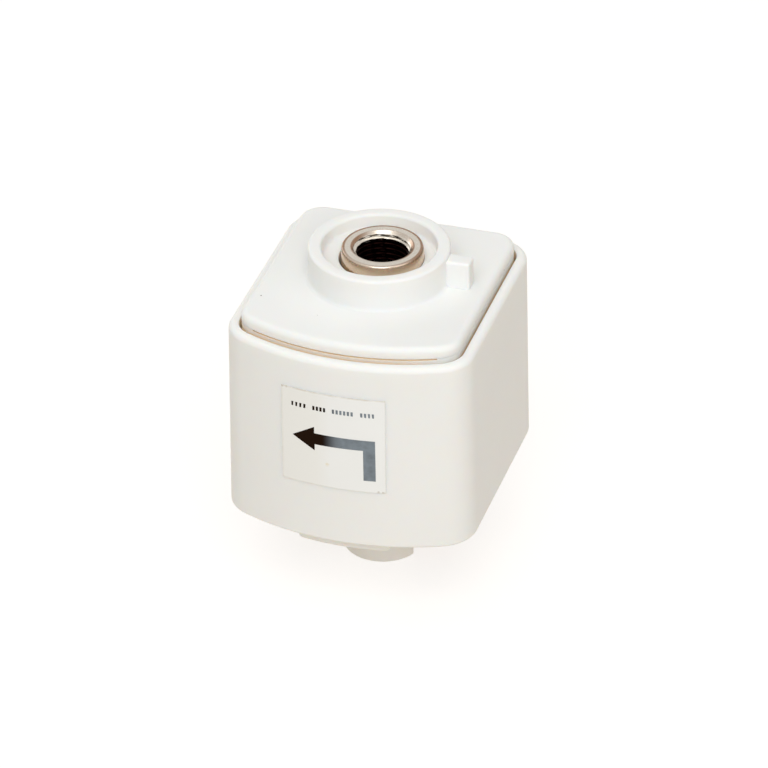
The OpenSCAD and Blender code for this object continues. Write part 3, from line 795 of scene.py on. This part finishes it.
hook_grooves = box_solid("hook_grooves", (-GROOVE_X, -HOOK_GROOVE_HALF_W, rim - HOOK_GROOVE_DROP[0]),
                         (GROOVE_X, HOOK_GROOVE_HALF_W, rim - HOOK_GROOVE_DROP[1]))
combine(outer_sleeve, [hook_grooves], "DIFFERENCE")
finish_piece(outer_sleeve, sleeve_plastic("sleeve_white_plastic_painted_cavity_shade"),
             "sleeve", ["outer_sleeve"])


# Label: a clear glossy polyester sticker on the bowed front, printed with an arrow and a row of blocks.
# Die cut and stuck on by hand a little off centre, with dirt caught at its edges.

def on_bow(u, z, lift):
    """A point on the bowed front: u along the arc from the middle, lifted off the surface."""
    a = u / BOW_R
    r = BOW_R - draft_inset(z) + lift
    return (r * math.sin(a), bow_y - r * math.cos(a), z)


def film(name, outline, low, high):
    """A thin sheet on the bow, cut into narrow strips so that it bends, in the same order each run."""
    work = bmesh.new()
    work.faces.new([work.verts.new((u, 0.0, z)) for u, z in outline])
    left = min(u for u, _ in outline)
    right = max(u for u, _ in outline)
    for k in range(1, int((right - left) / STRIP_W) + 1):
        geometry = work.verts[:] + work.edges[:] + work.faces[:]
        bmesh.ops.bisect_plane(work, geom=geometry, plane_co=(left + k * STRIP_W, 0, 0), plane_no=(1, 0, 0))
    sheet = bmesh.ops.extrude_face_region(work, geom=work.faces[:])["geom"]
    raised = {vert for vert in sheet if isinstance(vert, bmesh.types.BMVert)}
    order = sorted(work.verts, key=lambda vert: (vert in raised, *vert.co))
    number = {vert: k for k, vert in enumerate(order)}
    points = [on_bow(vert.co.x, vert.co.z, high if vert in raised else low) for vert in order]
    faces = []
    for face in work.faces:
        corners = [number[vert] for vert in face.verts]
        first = corners.index(min(corners))
        faces.append(corners[first:] + corners[:first])
    work.free()
    return solid(name, points, sorted(faces))


def spot_mask(tree, coords, centre, radius, softness):
    """One inside a small round spot on the surface, falling to nothing at its edge."""
    place = tuple(MM * value for value in centre)
    distance = shader_node(tree, "ShaderNodeVectorMath", {0: coords, 1: place}, operation="DISTANCE")
    return fade(tree, distance.outputs["Value"], radius * (1 - softness), radius)


def clear_film(name):
    """Glossy film over the white sleeve: faintly wavy, with painted shade on its left, stains and grimy
    edges.
    """
    material, tree, shader, coords = new_material(name)
    colour = mix_colours(tree, noise(tree, coords, FILM_CLOUD, 3.0), FILM, FILM_SHADE)
    parts = axes(tree, coords)
    # Painted shade: the film's left is painted darker and yellower, where its right catches a reflection.
    colour = mix_colours(tree, fade(tree, parts["X"], *PAINTED_SHADE_ENDS, PAINTED_SHADE_AMOUNT), colour, FILM_PAINTED_SHADE)
    for (u, z), radius, tone in LABEL_STAINS:
        mask = spot_mask(tree, coords, on_bow(u, label_low.z + z, LABEL_T), radius, STAIN_SOFTNESS)
        patchy = maths(tree, "MULTIPLY", mask, noise(tree, coords, STAIN_GRAIN, 3.0))
        colour = mix_colours(tree, remap(tree, patchy, *STAIN_SPAN), colour, tone)
    patches = remap(tree, noise(tree, coords, GRIME_GRAIN, 3.0), *GRIME_SPAN)
    for axis, edge, width, amount in LABEL_EDGES:
        line = fade(tree, parts[axis], edge, edge + width, amount)
        colour = mix_colours(tree, maths(tree, "MULTIPLY", line, patches), colour, EDGE_GRIME)
    plug(tree, shader, {"Base Color": colour, "Roughness": FILM_ROUGH, "Coat Weight": FILM_COAT,
                        "Coat Roughness": FILM_COAT_ROUGH})
    bump(tree, shader, noise(tree, coords, FILM_WAVE, 3.0), *FILM_BUMP)
    return material


def printed_ink(name):
    """Black ink on the film, with a painted grey-blue reflection over it towards the right of the arrow."""
    material, tree, shader, coords = new_material(name)
    thin = shader_node(tree, "ShaderNodeMapRange", {
        "Value": axes(tree, coords)["X"], "From Min": MM * INK_FADE[0], "From Max": MM * INK_FADE[1]},
        interpolation_type="SMOOTHSTEP").outputs["Result"]
    mottle = maths(tree, "MULTIPLY", thin, noise(tree, coords, INK_GRAIN, 4.0))
    # Painted reflection: the ink turns grey-blue towards the right, broken up by noise.
    colour = mix_colours(tree, thin, INK, INK_PAINTED_REFLECTION)
    colour = mix_colours(tree, remap(tree, mottle, *MOTTLE_SPAN), colour, INK)
    plug(tree, shader, {"Base Color": colour, "Roughness": INK_ROUGH, "Specular IOR Level": INK_SHEEN})
    return material


def block_tree(name):
    """A plain block on each point of a mesh."""
    tree, given = shape_tree(name, {"Places": "Geometry", "Size": "Vector", "Finish": "Material"}, "Blocks")
    block = shader_node(tree, "GeometryNodeMeshCube", {"Size": given["Size"]})
    placed = shader_node(tree, "GeometryNodeInstanceOnPoints", {
        "Points": given["Places"], "Instance": block.outputs["Mesh"]})
    return coat_and_end(tree, placed.outputs[0], given["Finish"])


STRIP_W = 0.6
LABEL_T = 0.12
INK_T = 0.02
FILM = (0.87, 0.87, 0.848, 1.0)
FILM_SHADE = (0.855, 0.85, 0.82, 1.0)
FILM_PAINTED_SHADE = (0.84, 0.825, 0.775, 1.0)
FILM_CLOUD = 180.0
FILM_WAVE = 260.0
FILM_BUMP = (0.1, 0.06)
FILM_ROUGH = 0.2
FILM_COAT = 0.6
FILM_COAT_ROUGH = 0.06
PAINTED_SHADE_ENDS = (-3.5, -1.0)
PAINTED_SHADE_AMOUNT = 0.8
STAIN_SOFTNESS = 0.8
STAIN_GRAIN = 2600.0
STAIN_SPAN = (0.15, 0.6, 0.0, 0.7)
GRIME_GRAIN = 700.0
GRIME_SPAN = (0.35, 0.65, 0.4, 1.0)
GRIME = (0.45, 0.38, 0.3, 1.0)
YELLOW = (0.75, 0.62, 0.35, 1.0)
EDGE_GRIME = (0.6, 0.5, 0.36, 1.0)
LABEL_W = 18.3
LABEL_X = -0.6
LABEL_STAINS = (((-9.6, 18.1), 0.5, GRIME), ((-8.8, 18.1), 0.4, GRIME), ((7.3, 0.1), 0.5, GRIME),
                ((8.1, 0.1), 0.45, GRIME), ((-1.5, 4.5), 0.6, YELLOW))
INK = (0.013, 0.0045, 0.001, 1.0)
INK_PAINTED_REFLECTION = (0.22, 0.255, 0.285, 1.0)
INK_FADE = (-2.4, 1.3)
INK_GRAIN = 900.0
INK_ROUGH = 0.4
INK_SHEEN = 0.03
MOTTLE_SPAN = (0.4, 0.8, 0.0, 0.3)
ARROW = ((-7.7, 9.05), (-3.72, 11.45), (-3.72, 10.2), (6.8, 10.2), (6.85, 2.3), (4.78, 2.3), (4.75, 8.2),
         (-3.66, 8.05), (-3.66, 6.85))
BLOCK_GROUPS = ((-7.99, -5.04), (-4.1, -1.56), (-0.64, 3.23), (4.2, 6.8))
BLOCK_ROW_Z = 15.15
BLOCK_SIZE = (0.38, 0.05, 0.8)
BLOCK_PITCH = 0.68

label_low, label_high = node_box("label")
label_left = LABEL_X - LABEL_W / 2
label_right = LABEL_X + LABEL_W / 2
LABEL_EDGES = (("Z", label_high.z, -0.3, 0.6), ("Z", label_low.z, 0.25, 0.3),
               ("X", label_low.x, 0.45, 0.3), ("X", label_high.x, -0.25, 0.3))
label_outline = ((label_left, label_low.z), (label_right, label_low.z),
                 (label_right, label_high.z), (label_left, label_high.z))
finish_piece(film("clear_label", label_outline, 0.0, LABEL_T), clear_film("label_film"),
             "sleeve", ["label"])
ink = printed_ink("label_ink")
arrow_outline = [(u, label_low.z + z) for u, z in ARROW]
finish_piece(film("turning_arrow", arrow_outline, LABEL_T, LABEL_T + INK_T), ink, "sleeve", [])
block_lift = LABEL_T + INK_T - BLOCK_SIZE[1] / 2
block_places = []
for start, stop in BLOCK_GROUPS:
    count = round((stop - start) / BLOCK_PITCH)
    for k in range(count):
        u = start + (stop - start) * (k + 0.5) / count
        block_places.append(Vector(on_bow(u, label_low.z + BLOCK_ROW_Z, block_lift)) * MM)
block_mesh = bpy.data.meshes.new("print_blocks")
block_mesh.from_pydata(block_places, [], [])
print_blocks = linked("print_blocks", block_mesh)
row = print_blocks.modifiers.new("row", "NODES")
row.node_group = block_tree("blocks_in_a_row")
set_inputs(row, {"Size": [MM * side for side in BLOCK_SIZE], "Finish": ink})
plain_mesh(print_blocks)
finish_piece(print_blocks, ink, "sleeve", [])


# Lamp end cover: the plate that closes the inner body, with a collar and a stop lug for the lamp's cap.
# Moulded in one piece in white ABS. Four snap tongues hold it, and a boss takes the clamp plate.

def cover_plastic(name):
    """White, with a painted warm shade low on the plate's edge by the gap, and a few specks of dirt."""
    material = moulded_plastic(name, WHITE, WHITE_SHADE, SATIN)
    tree = material.node_tree
    coords = shader_node(tree, "ShaderNodeTexCoord").outputs["Object"]
    low = fade(tree, axes(tree, coords)["Z"], *(plate_top - drop for drop in SKIRT_DROP))
    # Painted shade: the plate's edge is painted warmer low down, next to the gap under it.
    colour_over(material, SKIRT_PAINTED_WARM_SHADE, low)
    for (x, y, drop), radius in SPECKS:
        colour_over(material, DIRT, spot_mask(tree, coords, (x, y, plate_top - drop), radius, SPECK_SOFTNESS))
    return material


PLATE_INSET = 2.45
PLATE_T = 2.0
PLATE_ROUND = 1.0
PLATE_FOOT_ROUND = 0.06
COLLAR_R = 12.05
COLLAR_H = 5.8
COLLAR_ROUND = 0.55
COLLAR_FILLET = 0.65
RECESS_R = 9.75
RECESS_DEPTH = 2.5
RECESS_ROUND = 0.5
BUSH_HOLE_R = 7.25
BUSH_LEAN = 0.2
BUSH_HOLE_BREAK = 0.03
POCKET_R = 9.65
RECESS_FLOOR_T = 4.9
SPIGOT_INSET = 4.7
SPIGOT_WALL = 1.2
SPIGOT_H = 2.0
BOSS_R = 14.65
LUG_REACH = 16.0
LUG_HALF_W = 1.5
LUG_Y = 0.5
LUG_H = 5.0
LUG_ROUND = 0.5
SNAP_Y = (-10.5, 9.5)
SNAP_HALF_W = 3.0
SNAP_T = 1.4
SNAP_HOOK = 0.8
SNAP_HOOK_H = 1.6
SNAP_DROP = 7.5
CLAMP_HOLE_R = 1.15
CLAMP_HOLE_DEPTH = 3.25
SPECKS = (((-17.0, -12.2, 0.0), 0.16), ((19.05, 9.6, 1.7), 0.16), ((-6.0, -15.5, 0.0), 0.07))
SKIRT_PAINTED_WARM_SHADE = (0.88, 0.845, 0.79, 1.0)
SKIRT_DROP = (1.3, 0.7)
SPECK_SOFTNESS = 0.5
DIRT = (0.12, 0.1, 0.08, 1.0)

collar_top = node_box("lamp_end_cover")[1].z
plate_top = collar_top - COLLAR_H
plate_low = plate_top - PLATE_T
recess_z = collar_top - RECESS_DEPTH
pocket_top = recess_z - RECESS_FLOOR_T
boss_low = clamp_high.z
bush_low, bush_high = node_box("swivel_bush")
bush_x = (bush_low.x + bush_high.x) / 2
hole_x = bush_x - BUSH_LEAN

cover_rings = [
    round_ring(BUSH_HOLE_R, recess_z - BUSH_HOLE_BREAK, hole_x),
    round_ring(BUSH_HOLE_R + BUSH_HOLE_BREAK, recess_z, hole_x),
    *round_edge(round_ring, RECESS_R, recess_z, -RECESS_ROUND, RECESS_ROUND, 4),
    *round_edge(round_ring, RECESS_R, collar_top, COLLAR_ROUND, -COLLAR_ROUND, 5)[::-1],
    *round_edge(round_ring, COLLAR_R, collar_top, -COLLAR_ROUND, -COLLAR_ROUND, 5),
    *round_edge(round_ring, COLLAR_R, plate_top, COLLAR_FILLET, COLLAR_FILLET, 5)[::-1],
    sleeve_ring(PLATE_INSET + PLATE_ROUND + HOLD, plate_top),
    *round_edge(sleeve_ring, PLATE_INSET, plate_top, PLATE_ROUND, -PLATE_ROUND, 6),
    *round_edge(sleeve_ring, PLATE_INSET, plate_low, PLATE_FOOT_ROUND, PLATE_FOOT_ROUND, 3)[::-1],
    sleeve_ring(SPIGOT_INSET, plate_low), sleeve_ring(SPIGOT_INSET, plate_low - SPIGOT_H),
    sleeve_ring(SPIGOT_INSET + SPIGOT_WALL, plate_low - SPIGOT_H),
    sleeve_ring(SPIGOT_INSET + SPIGOT_WALL, plate_low),
    round_ring(BOSS_R, plate_low), round_ring(BOSS_R, boss_low), round_ring(POCKET_R, boss_low),
    round_ring(POCKET_R, pocket_top), round_ring(BUSH_HOLE_R, pocket_top, hole_x)]
lamp_end_cover = solid("cover", *loft(cover_rings, joined=True))
lug = box_solid("lug", (COLLAR_R - OVERLAP, LUG_Y - LUG_HALF_W, plate_low + OVERLAP),
                (LUG_REACH, LUG_Y + LUG_HALF_W, plate_top + LUG_H))
rounding = lug.modifiers.new("rounding", "BEVEL")
rounding.width = MM * LUG_ROUND
rounding.segments = 4
combine(lamp_end_cover, [plain_mesh(lug)], "UNION")
snap_x = SLEEVE_HALF_W - SPIGOT_INSET
snap_low = plate_low - SNAP_DROP
for side in (-1, 1):
    for y in SNAP_Y:
        stem_x = sorted((side * (snap_x - SNAP_T), side * snap_x))
        hook_x = sorted((side * (snap_x - SNAP_T), side * (snap_x + SNAP_HOOK)))
        stem = box_solid("snap_stem", (stem_x[0], y - SNAP_HALF_W, snap_low),
                         (stem_x[1], y + SNAP_HALF_W, plate_low + OVERLAP))
        hook = box_solid("snap_hook", (hook_x[0], y - SNAP_HALF_W, snap_low),
                         (hook_x[1], y + SNAP_HALF_W, snap_low + SNAP_HOOK_H))
        combine(lamp_end_cover, [combine(stem, [hook], "UNION")], "UNION")
screw_holes = []
for angle in CLAMP_SCREW_ANGLES:
    centre = (CLAMP_SCREW_R * math.cos(math.radians(angle)), CLAMP_SCREW_R * math.sin(math.radians(angle)))
    hole_rings = [circle_ring(CLAMP_HOLE_R, z, centre)
                  for z in (boss_low - OVERLAP, boss_low + CLAMP_HOLE_DEPTH)]
    screw_holes.append(solid("screw_hole", *loft(hole_rings)))
combine(lamp_end_cover, screw_holes, "DIFFERENCE")
finish_piece(lamp_end_cover, cover_plastic("cover_white_plastic"),
             "body", ["lamp_end_cover"])


# Swivel washers: a wave washer above the bush's flange gives the swivel its drag, and a thrust washer
# carries it below. The wave washer is stamped in hardened steel, the thrust washer cut from natural nylon.

NYLON = (0.84, 0.82, 0.74, 1.0)
NYLON_SHADE = (0.8, 0.77, 0.68, 1.0)
NYLON_GLOSS = 0.42

dress("wave_washer", spring_wire)
dress("thrust_washer", moulded_plastic("natural_nylon", NYLON, NYLON_SHADE, NYLON_GLOSS))


# Swivel bush: the threaded bush that the lamp screws into, free to turn in the collar.
# Turned in steel and nickel plated. Its bore is painted near black a little below the mouth, for the shade
# down the thread.

def nickel_plate(name):
    """Bright nickel with turning marks, painted reflections on its side and along its edges, and a bore
    painted dark.
    """
    material, tree, shader, coords = new_material(name)
    parts = axes(tree, coords)
    across = maths(tree, "SUBTRACT", parts["X"], MM * bush_x)
    level = shader_node(tree, "ShaderNodeCombineXYZ", {"X": across, "Y": parts["Y"]}).outputs[0]
    radius = shader_node(tree, "ShaderNodeVectorMath", {0: level}, operation="LENGTH").outputs["Value"]
    depth = maths(tree, "SUBTRACT", MM * bush_top, parts["Z"])
    # Painted reflection: the outer side is painted browner than the face.
    side = fade(tree, radius, *(BUSH_R - inset for inset in SIDE_INSET), 0.0, 1.0)
    face = mix_colours(tree, noise(tree, coords, NICKEL_CLOUD, 4.0), NICKEL, NICKEL_SHADE)
    colour = mix_colours(tree, side, face, NICKEL_SIDE_PAINTED_REFLECTION)
    # Painted reflections: dark brown rings at the outer edge and the mouth, stronger at the back and the
    # sides.
    shallow = fade(tree, depth, *REFLECTION_RING_DEPTH)
    sides = fade(tree, maths(tree, "ABSOLUTE", across), *MOUTH_REFLECTION_SPAN)
    back = fade(tree, parts["Y"], *EDGE_REFLECTION_SPAN)
    for (middle, width), strength in ((EDGE_REFLECTION_RING, back), (MOUTH_REFLECTION_RING, sides)):
        near = maths(tree, "ABSOLUTE", maths(tree, "SUBTRACT", radius, MM * middle))
        here = maths(tree, "MULTIPLY", fade(tree, near, width / 2, width), shallow)
        colour = mix_colours(tree, maths(tree, "MULTIPLY", here, strength), colour, PAINTED_DARK_REFLECTION)
    # Painted shade: the bore goes near black a little below its mouth.
    inner = fade(tree, radius, *(MOUTH_R + beyond for beyond in BORE_EDGE))
    bore_shade = maths(tree, "MULTIPLY", inner, fade(tree, depth, *BORE_DEPTH, 0.0, 1.0))
    colour = mix_colours(tree, bore_shade, colour, BORE_PAINTED_SHADE)
    rings = maths(tree, "SINE", maths(tree, "MULTIPLY", radius, TURNING_MARKS))
    pits = noise(tree, coords, PIT_SCALE, 4.0)
    height = shader_node(tree, "ShaderNodeMath", {0: rings, 1: pits, 2: pits}, operation="MULTIPLY_ADD")
    rough = remap(tree, pits, *NOISE_SPAN, *NICKEL_ROUGH)
    plug(tree, shader, {"Base Color": colour, "Metallic": 1.0, "Roughness": rough})
    bump(tree, shader, height.outputs[0], *NICKEL_BUMP)
    return material


BUSH_R = 7.0
BUSH_EDGE = 0.3
BUSH_CROWN_W = 0.3
BUSH_CROWN_H = 1.2
MOUTH_R = 5.2
CREST_R = 4.46
ROOT_R = 5.0
LAMP_PITCH = 1.0
LAMP_THREAD_ROWS = 14
FLANGE_R = 9.0
FLANGE_EDGE = 0.1
FLANGE_T = 1.6
FLANGE_DROP = 9.55
NICKEL = (0.64, 0.59, 0.52, 1.0)
NICKEL_SHADE = (0.54, 0.49, 0.42, 1.0)
NICKEL_SIDE_PAINTED_REFLECTION = (0.72, 0.575, 0.44, 1.0)
PAINTED_DARK_REFLECTION = (0.27, 0.15, 0.085, 1.0)
EDGE_REFLECTION_RING = (6.66, 0.38)
MOUTH_REFLECTION_RING = (5.1, 0.4)
REFLECTION_RING_DEPTH = (0.4, 0.7)
EDGE_REFLECTION_SPAN = (-6.0, -2.0, 0.35, 0.9)
MOUTH_REFLECTION_SPAN = (3.4, 4.8, 0.25, 0.95)
SIDE_INSET = (0.25, 0.05)
BORE_EDGE = (-0.05, 0.25)
BORE_DEPTH = (1.3, 1.8)
NICKEL_CLOUD = 900.0
NICKEL_ROUGH = (0.16, 0.3)
NICKEL_BUMP = (0.03, 0.01)
TURNING_MARKS = 26000.0
PIT_SCALE = 3200.0
BORE_PAINTED_SHADE = (0.008, 0.0025, 0.002, 1.0)

bush_top = bush_high.z
bush_foot = bush_low.z
flange_low = bush_top - FLANGE_DROP
rows = int((bush_top - bush_foot) / LAMP_PITCH * LAMP_THREAD_ROWS)
bore_rings = []
for k in range(rows + 1):
    z = bush_top - (bush_top - bush_foot) * k / rows
    cone = max(CREST_R, MOUTH_R - min(bush_top - z, z - bush_foot))
    ring = thread_ring(z, LAMP_PITCH, ROOT_R, CREST_R)
    bore_rings.append([(x * max(1.0, cone / math.hypot(x, y)), y * max(1.0, cone / math.hypot(x, y)), z)
                       for x, y, z in ring])
flange_top = flange_low + FLANGE_T
bush_profile = [(BUSH_R - BUSH_EDGE, bush_foot), (BUSH_R, bush_foot + BUSH_EDGE), (BUSH_R, flange_low),
                (FLANGE_R - FLANGE_EDGE, flange_low), (FLANGE_R, flange_low + FLANGE_EDGE),
                (FLANGE_R, flange_top - FLANGE_EDGE), (FLANGE_R - FLANGE_EDGE, flange_top),
                (BUSH_R, flange_top)]
bush_rings = bore_rings + [circle_ring(r, z) for r, z in bush_profile]
bush_rings += round_edge(circle_ring, BUSH_R, bush_top, -BUSH_CROWN_W, -BUSH_CROWN_H, 8)[::-1]
swivel_bush = solid("threaded_bush", *loft(bush_rings, joined=True))
swivel_bush.data.transform(Matrix.Translation((MM * bush_x, 0, 0)))
finish_piece(swivel_bush, nickel_plate("nickel_plate"), "swivel", ["swivel_bush"])


# Clamp plate and earth strap: the plate traps the bush's flange in the cover, the strap earths it.
# The plate is stamped in zinc plated steel, the strap bent from brass strip and held by one clamp screw.

CLAMP_EDGE = 0.12
STRAP_EDGE = 0.08

dress("clamp_plate", zinc_plate)
soften_edges("clamp_plate", CLAMP_EDGE)
dress("earth_strap", terminal_brass)
soften_edges("earth_strap", STRAP_EDGE)


# Studio: a pale, faintly glowing floor, soft lamps above, in front, on the right and behind, and the
# photograph's long-lens view. The camera was fitted to the sleeve's, plate's and collar's outlines.

def area_light(name, place, size, power, colour):
    """A soft square lamp that faces the part."""
    data = bpy.data.lights.new(name, "AREA")
    data.size = size
    data.energy = power
    data.color = colour
    made = linked(name, data)
    made.location = place
    made.rotation_euler = (Vector(LAMP_TARGET) - Vector(place)).to_track_quat("-Z", "Y").to_euler()


def seen_directly(tree):
    """One for camera, glossy and transmission rays, and nothing for the light that the world gives."""
    path = shader_node(tree, "ShaderNodeLightPath").outputs
    shiny = maths(tree, "MAXIMUM", path["Is Glossy Ray"], path["Is Transmission Ray"])
    return maths(tree, "MAXIMUM", path["Is Camera Ray"], shiny)


VIEW_AZIMUTH = math.radians(17.714)
VIEW_ELEVATION = math.radians(32.891)
VIEW_ROLL = math.radians(-0.781)
VIEW_DISTANCE = 867.8
VIEW_TARGET = (-1.7, 6.85, 27.79)
LENS = 235.7
SENSOR = 36.0
WORLD_LIGHT = 0.3
WORLD_COLOUR = (1.0, 1.0, 1.0, 1.0)
LAMP_TARGET = (0.0, 0.0, 0.03)
FLOOR_HALF = 1.5
FLOOR_ROUGH = 0.9
FLOOR_COLOUR = (0.4, 0.36, 0.32, 1.0)
FLOOR_GLOW = 0.3
FLOOR_WARMTH = (1.0, 0.86, 0.62, 1.0)
FLOOR_SEEN = 0.7
FLOOR_TINT = (0.97, 0.985, 1.0, 1.0)

back = Vector((math.sin(VIEW_AZIMUTH) * math.cos(VIEW_ELEVATION),
               -math.cos(VIEW_AZIMUTH) * math.cos(VIEW_ELEVATION), math.sin(VIEW_ELEVATION)))
level_right = Vector((math.cos(VIEW_AZIMUTH), math.sin(VIEW_AZIMUTH), 0.0))
level_up = back.cross(level_right)
right = level_right * math.cos(VIEW_ROLL) + level_up * math.sin(VIEW_ROLL)
up = level_up * math.cos(VIEW_ROLL) - level_right * math.sin(VIEW_ROLL)
camera_data = bpy.data.cameras.new("camera")
camera_data.lens = LENS
camera_data.sensor_width = SENSOR
camera = linked("camera", camera_data)
camera.matrix_world = Matrix.Translation((Vector(VIEW_TARGET) + back * VIEW_DISTANCE) * MM) @ Matrix(
    (right, up, back)).transposed().to_4x4()
bpy.context.scene.camera = camera

floor_mesh = bpy.data.meshes.new("floor")
floor_corners = [(x * FLOOR_HALF, y * FLOOR_HALF, 0.0) for x, y in ((-1, -1), (1, -1), (1, 1), (-1, 1))]
floor_mesh.from_pydata(floor_corners, [], [(0, 1, 2, 3)])
floor = linked("floor", floor_mesh)
floor_material, tree, shader, _ = new_material("pale_floor")
direct = seen_directly(tree)
plug(tree, shader, {
    "Base Color": FLOOR_COLOUR, "Roughness": FLOOR_ROUGH,
    "Emission Color": mix_colours(tree, direct, FLOOR_WARMTH, FLOOR_TINT),
    "Emission Strength": remap(tree, direct, 0.0, 1.0, FLOOR_GLOW, FLOOR_SEEN)})
floor_mesh.materials.append(floor_material)

world = bpy.data.worlds.new("studio")
bpy.context.scene.world = world
world.use_nodes = True
tree = world.node_tree
strength = remap(tree, seen_directly(tree), 0.0, 1.0, WORLD_LIGHT, 1.0)
plug(tree, tree.nodes["Background"], {"Color": WORLD_COLOUR, "Strength": strength})
area_light("overhead_softbox", (0.0, 0.0, 1.0), size=1.2, power=3.4, colour=(1.04, 1.0, 0.92))
area_light("high_softbox", (0.15, -0.75, 0.7), size=0.8, power=5.9, colour=(0.935, 1.0, 1.07))
area_light("side_softbox", (0.8, -0.3, 0.45), size=0.6, power=1.2, colour=(1.0, 1.0, 1.04))
area_light("back_softbox", (-0.8, 0.55, 0.25), size=0.7, power=2.4, colour=(1.0, 1.0, 1.0))
bpy.context.scene.view_settings.view_transform = "Standard"
